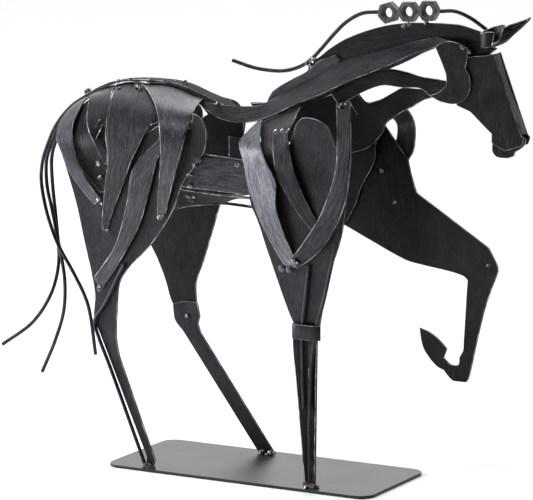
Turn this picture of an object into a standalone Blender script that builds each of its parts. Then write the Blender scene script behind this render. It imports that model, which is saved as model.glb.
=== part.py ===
"""A striding horse of welded sheet steel straps and round rod, on a thin steel base plate.

Sizes are in millimetres. +X is forward, -Y is the horse's right side and +Z is up. The origin
is the centre of the base plate's underside. Points of the figure give X and the height above
the base plate's top, drawn for a figure of DRAWN_HEIGHT and scaled to HORSE_HEIGHT.
"""
import math

import bmesh
import bpy
from mathutils import Vector

MM = 0.001

# Driving sizes
HORSE_HEIGHT = 202.5       # from the base plate's top to the top of the nuts
BASE_LENGTH = 125.8
BASE_WIDTH = 55.0
BASE_THICKNESS = 1.3
BASE_CORNER = 6.5          # corner radius of the base plate
PLATE = 1.0                # thickness of the leg plates
STRAP = 0.8                # thickness of the bent straps and the head's sheets
ROD = 1.6                  # diameter of the leg, tail and mane rods
GAP = 0.3                  # clearance left between pieces that touch
RIGHT_LEG_Y = 24.5         # middle of the right hind leg plate, out from the centre plane
SHOULDER_INSET = 1.5       # the right fore leg plate sits this much further in
LEFT_LEG_Y = 22.5          # middle of the left leg plates, out from the centre plane
SPINE_WIDTH = 8.0
BELLY_WIDTH = 20.0         # width of the strap that closes the belly
HEAD_WIDTH = 6.0           # between the middles of the two face plates
NUT_FLATS = 8.0            # across the flats
NUT_HEIGHT = 4.0
NUT_HOLE = 4.6
NUT_SLOPE = math.radians(5.6)      # the row of nuts climbs towards the head
FIRST_NUT_TURN = math.radians(12)
CUFF_HEIGHT = 6.3

# The figure's own drawing height, and what follows from the driving sizes
DRAWN_HEIGHT = 202.5
SCALE = HORSE_HEIGHT / DRAWN_HEIGHT
PLY = STRAP + GAP                                        # one strap lying on another
RIGHT_FACE = RIGHT_LEG_Y + PLATE / 2                     # outer face of the right hind plate
SHOULDER_Y = RIGHT_LEG_Y - SHOULDER_INSET
SHOULDER_FACE = SHOULDER_Y + PLATE / 2
LEFT_FACE = LEFT_LEG_Y + PLATE / 2
INNER_PLATE_STEP = PLATE + GAP                           # a plate lying inside another
ON_PLATE = GAP + STRAP / 2                               # middle of a strap lying on a face
ROD_ON_PLATE = GAP + ROD / 2
NUT_CORNERS = NUT_FLATS / math.cos(math.radians(30))
NECK_HALF = 11.0                                         # half breadth of the neck bands' hem
CHEEK_Y = HEAD_WIDTH / 2 + PLY
CREST_SIDE = PLY                                         # middle of a sheet lying on the crest
CURVE_STEP = 5.0                                         # length of one facet along a curve

RIGHT = -1
LEFT = 1


def clear_scene():
    for old in list(bpy.data.objects):
        bpy.data.objects.remove(old)


def point(x, y, z):
    """A point of the figure: x and z are drawn sizes, y is a real distance."""
    return Vector((x * SCALE, y, BASE_THICKNESS + z * SCALE))


def steel(name, colour, roughness):
    made = bpy.data.materials.new(name)
    made.use_nodes = True
    shader = made.node_tree.nodes["Principled BSDF"]
    shader.inputs["Base Color"].default_value = (*colour, 1.0)
    shader.inputs["Roughness"].default_value = roughness
    shader.inputs["Metallic"].default_value = 0.6
    return made


def keep(name, mesh, material):
    """Links a mesh as a named piece, scaled to metres and shaded smooth but for its edges."""
    mesh.transform(((MM, 0, 0, 0), (0, MM, 0, 0), (0, 0, MM, 0), (0, 0, 0, 1)))
    mesh.shade_smooth()
    mesh.set_sharp_from_angle(angle=math.radians(35))
    made = bpy.data.objects.new(name, mesh)
    bpy.context.scene.collection.objects.link(made)
    own = material.copy()
    own.name = name + "_" + material.name
    mesh.materials.append(own)
    return made


def parts(ends, step):
    """How many steps each piece of a line needs."""
    return [max(1, round((b - a).length / step)) for a, b in zip(ends, ends[1:])]


def curve_through(points, counts=None):
    """Points along a smooth curve through the given ones, so many between each two of them."""
    if len(points) < 3:
        return list(points)
    counts = counts or parts(points, CURVE_STEP)
    ends = [2 * points[0] - points[1]] + list(points) + [2 * points[-1] - points[-2]]
    made = []
    for corners, count in zip(zip(ends, ends[1:], ends[2:], ends[3:]), counts):
        times = [0.0]
        for p, q in zip(corners, corners[1:]):
            times.append(times[-1] + max((q - p).length, 1e-6) ** 0.5)
        for k in range(count):
            made.append(curve_point(corners, times, times[1] + (times[2] - times[1]) * k / count))
    made.append(points[-1].copy())
    return made


def curve_point(corners, times, t):
    """A point of the centripetal spline segment between the second and third corner."""
    level = list(corners)
    for reach in (1, 2):
        level = [
            blend(level[i], level[i + 1], times[i], times[i + reach], t)
            for i in range(len(level) - 1)
        ]
    return blend(level[0], level[1], times[1], times[2], t)


def blend(p, q, start, end, t):
    return p * ((end - t) / (end - start)) + q * ((t - start) / (end - start))


def sheet(name, rows, thickness, material):
    """A bent sheet: rows of points across it become a surface with an even thickness."""
    work = bmesh.new()
    grid = [[work.verts.new(p) for p in row] for row in rows]
    for above, below in zip(grid, grid[1:]):
        for i in range(len(above) - 1):
            work.faces.new((above[i], above[i + 1], below[i + 1], below[i]))
    mesh = bpy.data.meshes.new(name)
    work.to_mesh(mesh)
    work.free()
    made = keep(name, mesh, material)
    thick = made.modifiers.new("thickness", "SOLIDIFY")
    thick.thickness = thickness * MM
    thick.offset = 0
    thick.use_even_offset = True
    return made


def strap(name, stations, material, thickness=STRAP, step=CURVE_STEP):
    """A sheet through stations, each a row of points from one edge to the other."""
    lines = list(zip(*stations))
    counts = [max(found) for found in zip(*(parts(line, step) for line in lines))]
    across = [curve_through(list(line), counts) for line in lines]
    sheet(name, list(zip(*across)), thickness, material)


def plate(name, runs, y, material, thickness=PLATE):
    """A flat plate in the XZ plane. Runs of (x, z) are smooth, and meet in corners."""
    edge = []
    for run in runs:
        edge += curve_through([point(x, 0, z) for x, z in run])[:-1]
    work = bmesh.new()
    face = work.faces.new([work.verts.new((p.x, y - thickness / 2, p.z)) for p in edge])
    bmesh.ops.recalc_face_normals(work, faces=[face])
    moved = bmesh.ops.extrude_face_region(work, geom=[face])
    corners = [v for v in moved["geom"] if isinstance(v, bmesh.types.BMVert)]
    bmesh.ops.translate(work, vec=(0, thickness, 0), verts=corners)
    bmesh.ops.recalc_face_normals(work, faces=work.faces)
    mesh = bpy.data.meshes.new(name)
    work.to_mesh(mesh)
    work.free()
    keep(name, mesh, material)


def rod(name, points, material):
    """A round rod along a smooth curve through the points, with flat ends."""
    stops = [point(*p) for p in points]
    path = curve_through(stops, parts(stops, 2.6 * ROD))
    curve = bpy.data.curves.new(name, "CURVE")
    curve.dimensions = "3D"
    curve.bevel_depth = ROD / 2 * MM
    curve.bevel_resolution = 2
    curve.use_fill_caps = True
    line = curve.splines.new("POLY")
    line.points.add(len(path) - 1)
    for spot, p in zip(line.points, path):
        spot.co = (*(p * MM), 1)
    made = bpy.data.objects.new(name, curve)
    bpy.context.scene.collection.objects.link(made)
    own = material.copy()
    own.name = name + "_" + material.name
    curve.materials.append(own)


def level(table, x):
    """The height of a line of (x, z) points at x."""
    for (x0, z0), (x1, z1) in zip(table, table[1:]):
        if x0 <= x <= x1:
            return z0 + (z1 - z0) * (x - x0) / (x1 - x0)
    return table[0][1] if x < table[0][0] else table[-1][1]


def side_strap(name, side, face, tops, stations, material, shift=0.0):
    """A strap on one flank. A station is (left x, z, right x, z, lift), where lift is how far
    it stands out from a strap that lies on the leg plate's face. A second lift is for the right
    edge where the strap tilts."""
    rows = list(tops)
    count = len(rows[0]) if rows else 2
    for xl, zl, xr, zr, *lifts in stations:
        left = point(xl + shift, side * (face + ON_PLATE + lifts[0]), zl)
        right = point(xr + shift, side * (face + ON_PLATE + lifts[-1]), zr)
        rows.append([left.lerp(right, k / (count - 1)) for k in range(count)])
    strap(name, rows, material)


# The back line, as (x, height of the spine strip's middle)
SPINE = [(-84.5, 154.3), (-80, 156.8), (-72.5, 160), (-65, 161.4), (-57, 162), (-44.5, 161.9),
         (-38, 161), (-33, 159.5), (-29, 158), (-22, 155.7), (-15, 152.6), (-11, 151)]


def base_plate(material):
    edge = []
    for sx, sy, start in ((1, 1, 0), (-1, 1, 90), (-1, -1, 180), (1, -1, 270)):
        for k in range(7):
            angle = math.radians(start + 15 * k)
            edge.append(Vector((
                sx * (BASE_LENGTH / 2 - BASE_CORNER) + BASE_CORNER * math.cos(angle),
                sy * (BASE_WIDTH / 2 - BASE_CORNER) + BASE_CORNER * math.sin(angle),
                0)))
    work = bmesh.new()
    face = work.faces.new([work.verts.new(p) for p in edge])
    moved = bmesh.ops.extrude_face_region(work, geom=[face])
    tops = [v for v in moved["geom"] if isinstance(v, bmesh.types.BMVert)]
    bmesh.ops.translate(work, vec=(0, 0, BASE_THICKNESS), verts=tops)
    bmesh.ops.recalc_face_normals(work, faces=work.faces)
    mesh = bpy.data.meshes.new("base_plate")
    work.to_mesh(mesh)
    work.free()
    keep("base_plate", mesh, material)


FOOT = GAP / SCALE          # the feet's drawn height over the base plate


def hind_legs(material, rods):
    plate("right_thigh_plate", [
        [(-82.9, 127.5), (-78, 129.5), (-70, 132), (-66, 132.8), (-64, 137),
         (-62.5, 139.8), (-58, 140), (-54, 139.5), (-47, 141), (-41.5, 143.8), (-37, 146.6), (-32, 147.2),
         (-21.5, 146.5)],
        [(-21.5, 146.5), (-20.3, 153)],
        [(-20.3, 153), (-17, 151.5), (-14.5, 147.5), (-14, 143), (-15.5, 136.5), (-25.5, 123),
         (-30.3, 111.3), (-41.2, 95.8), (-52.2, 84.8), (-56.2, 78.5), (-57.6, 66.5), (-58, 54),
         (-56.6, 46.7)],
        [(-56.6, 46.7), (-39.4, 3.5)],
        [(-39.4, 3.5), (-40.2, FOOT)],
        [(-40.2, FOOT), (-43.6, FOOT)],
        [(-43.6, FOOT), (-43.4, 4.6)],
        [(-43.4, 4.6), (-66.2, 55.9)],
        [(-66.2, 55.9), (-69, 62), (-68.4, 72), (-70, 81), (-73.3, 94), (-77.6, 111.7),
         (-82.9, 127.5)],
    ], -RIGHT_LEG_Y, material)
    plate("left_thigh_plate", [
        [(-82.5, 127.5), (-77, 131.5), (-72, 136), (-66, 140), (-58, 141.5), (-50, 142),
         (-44, 143), (-40, 145.5), (-30, 147), (-22.5, 146)],
        [(-22.5, 146), (-22.5, 128)],
        [(-22.5, 128), (-33.9, 107), (-37.5, 96), (-42.5, 81), (-46, 71.5), (-45.6, 60.5)],
        [(-45.5, 60.5), (-56.5, 59.5)],
        [(-56.5, 59.5), (-58.5, 63), (-61.5, 72), (-65.5, 81), (-69, 87), (-73, 96), (-78, 113),
         (-82.5, 127.5)],
    ], LEFT_LEG_Y, material)
    plate("left_cannon_plate", [
        [(-57, 61.5), (-52, 63.2), (-44.9, 63.5)],
        [(-44.9, 63.5), (-43.4, 57.5)],
        [(-43.4, 57.5), (-44.2, 54), (-42.9, 50)],
        [(-42.9, 50), (-6.2, FOOT)],
        [(-6.2, FOOT), (-14.4, FOOT)],
        [(-14.4, FOOT), (-52.1, 50.5)],
        [(-52.1, 50.5), (-55.8, 54.5), (-57, 61.5)],
    ], LEFT_LEG_Y - INNER_PLATE_STEP, material)
    out = RIGHT_FACE + ROD_ON_PLATE
    rod("right_tendon_rod", [
        (-53.2, -out, 87), (-57.5, -out, 79), (-63, -out, 68.6), (-68, -out, 61),
        (-66.1, -out, 54.5), (-60.7, -out, 42.4), (-43.5, -out, FOOT + 1)], rods)
    out = LEFT_FACE + ROD_ON_PLATE
    rod("left_tendon_rod", [
        (-41.8, out, 99), (-43.5, out, 94), (-48, out, 79), (-50.5, out, 68), (-51, out, 61.5)],
        rods)


def haunch_top(side, xl, xr, plies):
    """The first row of a haunch strap, tucked some plies under the spine strip's edge."""
    y = side * (SPINE_WIDTH / 2 - 0.5)
    drop = PLY * plies / SCALE
    return [[point(x, y, level(SPINE, x) - drop) for x in (xl, (xl + xr) / 2, xr)]]


def haunch(side, face, shift, numbers, material):
    """The straps over one haunch, from the croup forward. Lifts in whole plies keep one strap
    clear of the next."""
    name = "right_haunch_strap_" if side == RIGHT else "left_haunch_strap_"
    spread = 0 if side == RIGHT else 6
    straps = {
        1: (haunch_top(side, -85.5 + shift, -79.5 + shift, 1.5), [
            (-88.7, 149, -82, 152.5, -16), (-89.8, 144, -81.2, 147.5, -9),
            (-88.5, 140.5, -80.6, 144.2, -4.6), (-86.6, 138, -78.3, 137.3, -0.2),
            (-82.4, 132.1, -74.2, 129, 2.6), (-78.8, 125, -69.7, 121.8, 2.8),
            (-72.5, 117, -66.5, 116.8, 1.8), (-67.2, 111.3, -64.4, 113.8, PLY)]),
        2: (haunch_top(side, -82.2, -76.5, 2.5), [
            (-84, 149, -76.5, 151.8, -15, -14), (-84.5, 144, -71, 146, -9, -7.4),
            (-81.5, 137, -68.5, 138.5, -2.2, -0.9), (-79, 133.2, -65, 134.5, 0),
            (-76.5, 129, -62.5, 130, 0), (-69.6, 121.4, -61, 122, 0),
            (-64.8, 116.5, -60.8, 117.5, 0)]),
        3: (haunch_top(side, -79.5 + shift, -70.5 + shift, 1.15), [
            (-78, 154.5, -67.6, 155, -15 + PLY), (-75.5, 151, -63.4, 151, -9 + PLY, -9.5 + PLY),
            (-70.6, 143.6, -60.8, 143, 0.5, -0.8), (-66.6, 137, -60.4, 135, PLY + 0.2),
            (-62.6, 129.8, -60.6, 128.5, PLY)]),
        4: (haunch_top(side, -70 + shift, -59 - spread / 2 + shift, 1.15), [
            (-66, 156, -46.5, 155.3, -12.4, -13), (-63.2, 149, -41, 149.5, -3.4, -4.5),
            (-60.7, 141, -42.4, 143.3, 2 * PLY, 2 * PLY - 1), (-59.6, 132.5, -45, 137.3, 2 * PLY),
            (-61, 121.5, -48.5, 131, 2 * PLY), (-62.4, 113.8, -51.5, 124, 1.6),
            (-63.3, 107.8, -56, 114.3, 0.9), (-64.5, 102.3, -61.5, 101.5, 0)]),
        5: ([], [
            (-34, 143.8, -26.5, 141.5, 0), (-37.1, 140, -30.3, 138, 0.2),
            (-44.3, 133.4, -35.5, 134.3, 0.8), (-48.6, 127, -39.9, 120, 1.2),
            (-51, 114, -45.3, 104, 1.3), (-57, 95, -54.8, 88, 1),
            (-68.3, 79.8, -64.3, 75.2, 0)]),
        6: (haunch_top(side, -58 + shift, -27.5 + shift, 1.15), [
            (-47.5 - spread / 2, 157.6, -24.5, 154.6, -12),
            (-39 - spread, 152.5, -22.5, 151.3, -3.2),
            (-34.5 - spread, 145, -22.2, 143.4, 2.3), (-33.5, 135, -25.6, 130.5, 3.3),
            (-36, 118, -30.2, 118.4, 1.3), (-37.2, 108.5, -32.9, 109.9, 0)]),
    }
    for number, kept in enumerate(numbers, 1):
        tops, stations = straps[kept]
        side_strap(name + str(number), side, face, tops, stations, material, shift)


def spine(material):
    half = SPINE_WIDTH / 2
    strap("spine_strip", [[point(x, -half, z), point(x, half, z)] for x, z in SPINE], material)


def belly(material):
    hip = RIGHT_LEG_Y - PLATE / 2 - ON_PLATE
    shoulder = SHOULDER_Y - PLATE / 2 - ON_PLATE
    left = LEFT_LEG_Y - PLATE / 2 - ON_PLATE
    keel = BELLY_WIDTH / 2 + 2 * GAP
    for side, name, rear, front in ((RIGHT, "right", hip, shoulder), (LEFT, "left", left, left)):
        front -= 0 if side == RIGHT else INNER_PLATE_STEP
        strap(name + "_belly_strip", [
            [point(-29, side * rear, 137), point(-29, side * rear, 121.6)],
            [point(3, side * front, 134.7), point(3, side * front, 120.3)],
            [point(13, side * front, 134), point(13, side * front, 120)]], material)
        strap(name + "_belly_chine", [
            [point(-31, side * (rear - 0.6), 120.8), point(-36, side * keel, 110.2)],
            [point(-20, side * (rear - 0.8), 120), point(-24, side * keel, 113)],
            [point(-9, side * ((rear + front) / 2 - 0.6), 119.4), point(-13.5, side * keel, 114.5)],
            [point(0, side * (front - 0.6), 119.2), point(-5.5, side * (keel + 2), 117)],
            [point(10, side * (front - 0.6), 119), point(8, side * (keel + 5), 117.2)]], material)
    half = BELLY_WIDTH / 2
    strap("belly_strap", [
        [point(-38, -half, 109.2), point(-38.5, half, 109.2)],
        [point(-33, -half, 110.8), point(-34.5, half, 110.4)],
        [point(-25, -half, 112.3), point(-30, half - 8, 111.6)],
        [point(-16, -half + 2, 113), point(-22, -half + 6, 112.9)],
        [point(-8, -half + 5, 112.2), point(-9, -half + 7, 112.4)],
        [point(4, -half + 6, 111), point(4, -half + 8, 111)]], material)


def right_fore_leg(material, straps, rods):
    plate("right_shoulder_plate", [
        [(25.5, 146), (27.3, 151.5)],
        [(27.3, 151.5), (30, 154.3), (34, 154.6), (38, 153.8), (42, 151.3), (44, 148), (45, 144.5),
         (46.2, 141), (48.5, 136.5), (50, 130), (50.5, 123), (49, 110), (46.3, 100), (43, 92),
         (40.8, 81.5), (38.4, 68)],
        [(38.4, 68), (26.7, 67.5)],
        [(26.7, 67.5), (23.2, 75), (14.1, 97.5), (9.6, 109.5), (6.1, 117), (5.3, 123),
         (7, 129), (10, 131.5), (14, 132.5), (18.5, 135.5), (22.5, 140), (25.5, 146)],
    ], -SHOULDER_Y, material)
    fold = SHOULDER_Y - 1.5
    lip = SHOULDER_Y + 1
    strap("right_cannon_plate", [
        [point(26.1, -lip, 66.7), point(32.2, -fold, 66.7), point(37.2, -fold - 1.4, 66.7)],
        [point(26.3, -lip, 60), point(32.3, -fold, 60), point(37.3, -fold - 1.8, 60)],
        [point(29, -lip, 32.5), point(33.3, -fold, 32.5), point(37.2, -lip, 32.5)],
        [point(32, -lip, FOOT), point(34.7, -fold, FOOT), point(36.8, -lip, FOOT)]],
        material, PLATE, 12)
    out = SHOULDER_FACE + ROD_ON_PLATE
    rod("right_foreleg_rod_1", [
        (34, -out, 94), (33, -out, 83.5), (31.3, -out, 68.5), (31.1, -out, 54),
        (31.8, -out, 33.5)], rods)
    rod("right_foreleg_rod_2", [
        (49.4, -out, 119), (48.2, -out, 111.2), (46.5, -out, 103), (44.2, -out, 93.4),
        (40.8, -out, 79), (37.8, -out, 68.5), (35.5, -out, 54.5), (34.6, -out, 37.5),
        (34.4, -out, 20.5), (34.7, -out, FOOT + 1)], rods)
    front = out + ROD / 2 + ON_PLATE
    ring = [(26.7, -front + 1.2), (27.7, -front), (38.8, -front), (39.8, -front + 1)]
    low = 62.8
    top = low + CUFF_HEIGHT / SCALE
    sheet("right_knee_cuff", [[point(x, y, z) for x, y in ring] for z in (top, low)], STRAP, material)

    def on_shoulder(number, tops, stations):
        side_strap("right_shoulder_strap_%d" % number, RIGHT, SHOULDER_FACE, tops, stations, straps)

    y = -(NECK_HALF + PLY)
    on_shoulder(1, [[point(3.2, y, 149.4), point(5, y, 150.2)]], [
        (-0.5, 142.5, 10, 142.5, -1.8), (0, 140.5, 12, 140.5, 0.7), (2, 137, 14, 138, 2.3),
        (3.5, 134, 16, 135, 3.1), (6, 125, 20.5, 128, 4.1), (9.5, 116, 20.5, 118, 4.1),
        (12.5, 110.5, 23, 109.5, 3.6), (17, 102.5, 26, 101, 1.9), (21.5, 94, 27.5, 96, 0.1),
        (24.5, 90, 28.5, 93, 0)])
    y = -(NECK_HALF - PLY)
    on_shoulder(2, [[point(2.5, y, 148.5), point(22.5, y, 157)]], [
        (5.5, 145.5, 22.5, 153.5, -10.2), (8.5, 142.5, 23, 150, -5.7), (11.5, 139, 21.5, 144, -1.8),
        (14.5, 134, 21.5, 139, 0.4), (17, 128.5, 21, 131, 0)])
    y = RIGHT_LEG_Y
    on_shoulder(3, [[point(15.5, 3.4 - y, 146.3), point(23.5, 1.1 - y, 148.3)]], [
        (18, 141.5, 25.5, 142.5, 1.7), (19, 135.5, 27, 136.5, 2.3),
        (20.5, 129.5, 29.5, 130, 2.8), (24, 124, 31.5, 125, 2.4), (27.5, 118, 34, 119.5, 1.6),
        (31, 113, 35.5, 116, 0.8), (35, 108.5, 38, 112.5, 0)])
    y = -(NECK_HALF + GAP)
    on_shoulder(4, [[point(39.5, y, 159.3), point(46, y, 160.8)]], [
        (42, 154, 48.5, 155.5, -8.7), (44.5, 149, 51, 150, -4.2), (46.5, 144, 53, 144.5, -0.4),
        (47.5, 138.5, 54, 138.5, 1.8), (46.5, 129.5, 54, 131, 3.3), (43.5, 121, 53, 123, 3.8),
        (40, 113.5, 49.5, 114, 3.8), (34, 105, 44.5, 105.5, 3.3), (30, 100, 38, 98.5, 2.3),
        (27, 97, 29.2, 92, 1.7)])


def left_fore_leg(material, straps):
    plate("left_foreleg_plate", [
        [(45, 146.5), (55.7, 133.2)],
        [(55.7, 133.2), (57.3, 126.7), (59.8, 119.3)],
        [(59.8, 119.3), (93.2, 98.8)],
        [(93.2, 98.8), (95.3, 95.2), (97.6, 90.6), (97.3, 88)],
        [(97.3, 88), (92.6, 75.5), (88.6, 60), (84.5, 42.5), (83.5, 41)],
        [(83.5, 41), (77.5, 41)],
        [(77.5, 41), (76, 42), (73, 45.3)],
        [(73, 45.3), (70.3, 46.2), (65, 51.4), (62.9, 55.3), (61.6, 62.3)],
        [(61.6, 62.3), (67, 60.4), (72, 56.9), (74.5, 54.3)],
        [(74.5, 54.3), (73, 50.5)],
        [(73, 50.5), (76.3, 48), (79.8, 48.1), (80.2, 51.5)],
        [(80.2, 51.5), (81.8, 54), (82.2, 58.5), (83.2, 76), (83.7, 84.2)],
        [(83.7, 84.4), (82.3, 85.7), (77.5, 87), (61.5, 89.2), (55.5, 90.3), (26, 102.9)],
        [(26, 102.9), (25, 112), (30, 130), (37, 140), (45, 146.5)],
    ], LEFT_LEG_Y, material)
    plate("left_shoulder_plate", [
        [(46, 147), (42.7, 143.5), (41.3, 138), (41, 132), (39.5, 128.5), (34.5, 119.5), (32, 112.5),
         (28.5, 106), (27, 103)],
        [(27, 103), (16, 106), (9, 115), (9, 126), (15, 133.5), (25, 138), (36, 142), (46, 147)],
    ], LEFT_LEG_Y - INNER_PLATE_STEP, material)
    inner = LEFT_LEG_Y - INNER_PLATE_STEP - PLATE / 2 - ON_PLATE
    throat = CHEEK_Y - 2 * PLY
    strap("left_throat_strap", [
        [point(79.5, -throat, 167.5), point(79.5, -throat, 165.5), point(79.5, -throat, 163.5)],
        [point(74.5, -0.8, 166.5), point(74.5, -0.8, 164.3), point(74.5, -0.8, 162)],
        [point(68, 2, 166), point(68, 2, 162), point(68, 2, 158.5)],
        [point(61.5, 5.5, 165.5), point(61.5, 5.5, 160.5), point(61.5, 5.5, 155.5)],
        [point(55, 9.5, 162.5), point(55.2, 9.5, 157), point(55.5, 9.5, 152)],
        [point(46.5, 13.5, 158.5), point(47.5, 14.8, 153.5), point(48.5, 15.5, 148)],
        [point(40.5, 13.8, 157), point(43, 17.5, 151), point(45.5, inner - 1, 144)],
        [point(36, 12.2, 161.5), point(37, 19, 150), point(38, inner, 137)],
        [point(27, 12.4, 160), point(27.5, 19.2, 149), point(28, inner, 134)],
        [point(16, 12.4, 156.5), point(16, 19, 147), point(16, inner, 134)],
        [point(7, 12.2, 153), point(7, 18, 146), point(7, inner, 136)],
        [point(-2, 12.8, 149), point(-2, 17.8, 144), point(-2, inner, 137)],
        [point(-9, 13.2, 146.5), point(-9, 17.5, 142.5), point(-9, inner, 137.5)]], straps)
    outer = LEFT_FACE + ON_PLATE
    strap("left_chest_strap", [
        [point(49.5, 15.3, 153), point(59, 9, 157)],
        [point(50.5, 18.3, 150.5), point(58.5, 17.5, 154)],
        [point(50.5, outer - 1.5, 147.5), point(58.7, outer - 1.5, 149)],
        [point(50, outer, 144), point(58.5, outer, 143)],
        [point(49, outer, 139), point(57.5, outer, 136)],
        [point(46.5, outer, 135), point(53.5, outer, 130)]], straps)
    tops = [[point(28.5, 15, 158), point(35, 15, 159.3)]]
    side_strap("left_shoulder_strap_1", LEFT, LEFT_FACE, tops, [
        (30, 150.5, 37, 151.5, -2.2), (32, 145, 39, 146, 0.7), (34, 137, 41, 137, 2),
        (35, 122, 43, 122, 2.6), (31, 109, 38, 107, PLY)], straps)
    tops = [[point(6, 18.4, 147.6), point(15, 18, 151)]]
    side_strap("left_shoulder_strap_2", LEFT, LEFT_FACE, tops, [
        (3.5, 143.5, 16, 147, -1.6), (2.5, 139, 17, 142, 0.9), (5, 131, 19, 134, 2.2),
        (13, 119, 26, 122, 2.2), (28.5, 108, 36, 112, 0)], straps)


def neck(material):
    plate("crest_plate", [
        [(20.8, 173.3), (26.5, 177.2), (30, 180), (35, 183.2), (40, 185.8), (49, 189.3),
         (55.5, 191.2), (63.5, 192.7), (69.5, 193.3), (76.5, 193.6), (83.5, 193.8), (90.5, 193.6)],
        [(90.5, 193.6), (95, 192.5), (100, 191), (102, 189)],
        [(102, 189), (104, 186), (107, 185)],
        [(107, 185), (104, 182.7)],
        [(104, 182.7), (99, 180.5), (94.5, 180)],
        [(94.5, 180), (91, 185), (85.5, 186)],
        [(85.5, 186), (72, 183), (61, 179.5), (47, 174.5), (35, 170), (24, 165.5), (19.3, 165.5)],
        [(19.3, 165.5), (20.8, 173.3)],
    ], 0, material, STRAP)
    y = CREST_SIDE
    rise = 2 * CREST_SIDE
    for side, name, first in ((RIGHT, "right", 0), (LEFT, "left", 3)):
        stations = [
            ((-28.5, 5.2, 155), (-28, 5.7, 154)), ((-22, 5.5, 154.7), (-20, 9, 150.5)),
            ((-17, 6, 154.3), (-15, 10, 149)), ((-10.4, 6.2, 154.4), (-8, 10.5, 148.3)),
            ((0.5, 6.2, 155.3), (1.5, NECK_HALF, 149.5)), ((5, 4.8, 157.4), (10, NECK_HALF, 152.5)),
            ((10.7, rise + 0.4, 161), (21, NECK_HALF, 158)), ((22.7, rise, 167.4), (32, 10.5, 162.5)),
            ((34.5, rise, 174.3), (45, 10, 168.8)), ((47.5, y + 0.5, 179), (61, 8, 175.7)),
            ((61, y, 183), (71.5, 5.6, 180.9)), ((72.5, y, 186.3), (81.2, CHEEK_Y - 1.5 * PLY, 184.5)),
            ((80, y, 188), (88, CHEEK_Y - PLY, 187))]
        strap(name + "_neck_band", [
            [point(xt, side * yt, zt), point(xb, side * yb, zb)]
            for (xt, yt, zt), (xb, yb, zb) in stations[first:]], material)
    strap("withers_strap", [
        [point(xt, -y, zt), point(xb, -y, zb)] for xt, zt, xb, zb in (
            (1.5, 156, 3, 155), (4, 160.7, 7, 157), (9.5, 164.5, 12, 161), (15, 167.5, 18, 164),
            (19.7, 170, 25, 168), (26.5, 175.3, 31, 172), (34, 178, 36, 176.3))], material)
    strap("right_throat_strap", [
        [point(xt, -yt, zt), point(xb, -yt, zb)] for xt, zt, xb, zb, yt in (
            (35.5, 163.5, 40, 158, 9), (42.5, 168, 45.5, 162, 8.1), (51, 172, 51, 165, 6.9),
            (60.5, 174.4, 58, 167.5, 5.7), (67, 173.8, 67, 167, 4.8), (74.5, 172, 74.5, 167, 4),
            (80.5, 171.3, 78.5, 164, CHEEK_Y - PLY - 0.1),
            (86.5, 170.6, 84, 162.8, CHEEK_Y - PLY - 0.1))], material)


def head(material):
    for side, name in ((RIGHT, "right"), (LEFT, "left")):
        plate(name + "_cheek_plate", [
            [(81, 184.5), (83, 186), (86, 187), (89.5, 187), (93, 186), (95.5, 185)],
            [(95.5, 185), (95.5, 180), (94.5, 177)],
            [(94.5, 177), (96.5, 173.5)],
            [(96.5, 173.5), (97, 169.5), (96, 166), (94, 163.5), (89.5, 161.7), (83, 162.5),
             (78.5, 164.5)],
            [(78.5, 164.5), (82.5, 166), (86, 169)],
            [(86, 169), (86, 173), (81, 184.5)],
        ], side * CHEEK_Y, material, STRAP)
        plate(name + "_face_plate", [
            [(93, 180.5), (97.5, 181.5), (104, 182.3), (106.7, 183.2)],
            [(106.7, 183.2), (119.2, 150.5)],
            [(119.2, 150.5), (120.3, 149.6), (119.3, 146.5)],
            [(119.3, 146.5), (112, 144)],
            [(112, 144), (107.5, 146), (106, 147)],
            [(106, 147), (106, 150.5)],
            [(106, 150.5), (100.5, 155.3), (96.4, 158.9)],
            [(96.4, 158.9), (90.2, 161.1)],
            [(90.2, 161.1), (93, 180.5)],
        ], side * HEAD_WIDTH / 2, material, STRAP)
    half = HEAD_WIDTH / 2 - STRAP / 2 - GAP
    strap("nose_strip", [
        [point(x, -half, z), point(x, half, z)]
        for x, z in ((106.2, 182.9), (111.4, 168.6), (116.2, 157.1), (118.6, 150.8))], material)
    plate("muzzle_plate", [
        [(110, 153), (105.2, 147)],
        [(105.2, 147), (104.9, 143.4), (106.7, 141), (112.3, 140.7), (114.4, 141.5), (115.4, 143.4)],
        [(115.4, 143.4), (117.8, 145), (119.7, 147), (120, 148.8), (119.3, 149.5)],
        [(119.3, 149.5), (118.1, 150.2), (116.5, 154.2)],
        [(116.5, 154.2), (110, 153)],
    ], 0, material)
    strap("jaw_strip", [
        [point(x, -half, z), point(x, half, z)]
        for x, z in ((86, 163.3), (90, 161.8), (96.6, 159.7), (100.5, 156.3))], material)


def ears(material):
    strap("right_ear", [[point(*low), point(*high)] for low, high in (
        ((107.5, -7.5, 186.5), (109, -7.5, 192.5)), ((105.5, -8, 186), (106, -8, 192.5)),
        ((102.4, -6.2, 186), (102.2, -6.2, 191.5)), ((101.5, -3.2, 186.5), (101.8, -3.2, 192)),
        ((103, -1.05, 186.8), (104.6, -1.4, 193.5)), ((107.5, -2, 187.5), (109.5, -2.2, 195)),
        ((109.5, -3.2, 190), (111.5, -3.4, 195)))], material, STRAP * 0.75, 2.5)
    strap("left_ear", [[point(*p) for p in row] for row in (
        ((103.3, 1.05, 184.8), (103.5, 3.8, 187), (105, 3.4, 191)),
        ((109.5, 1.6, 187.5), (108.5, 5.2, 190.5), (109.5, 4.4, 194)),
        ((112.5, 2.5, 190.5), (111.5, 6, 193), (112.5, 5, 195)),
        ((116, 4, 194), (115.2, 6.5, 195), (115.5, 6, 196.3)),
        ((118.3, 5.6, 196.8), (118.3, 6.3, 197.2), (118.4, 6.1, 197.8)))], material, STRAP * 0.75, 4)


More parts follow.
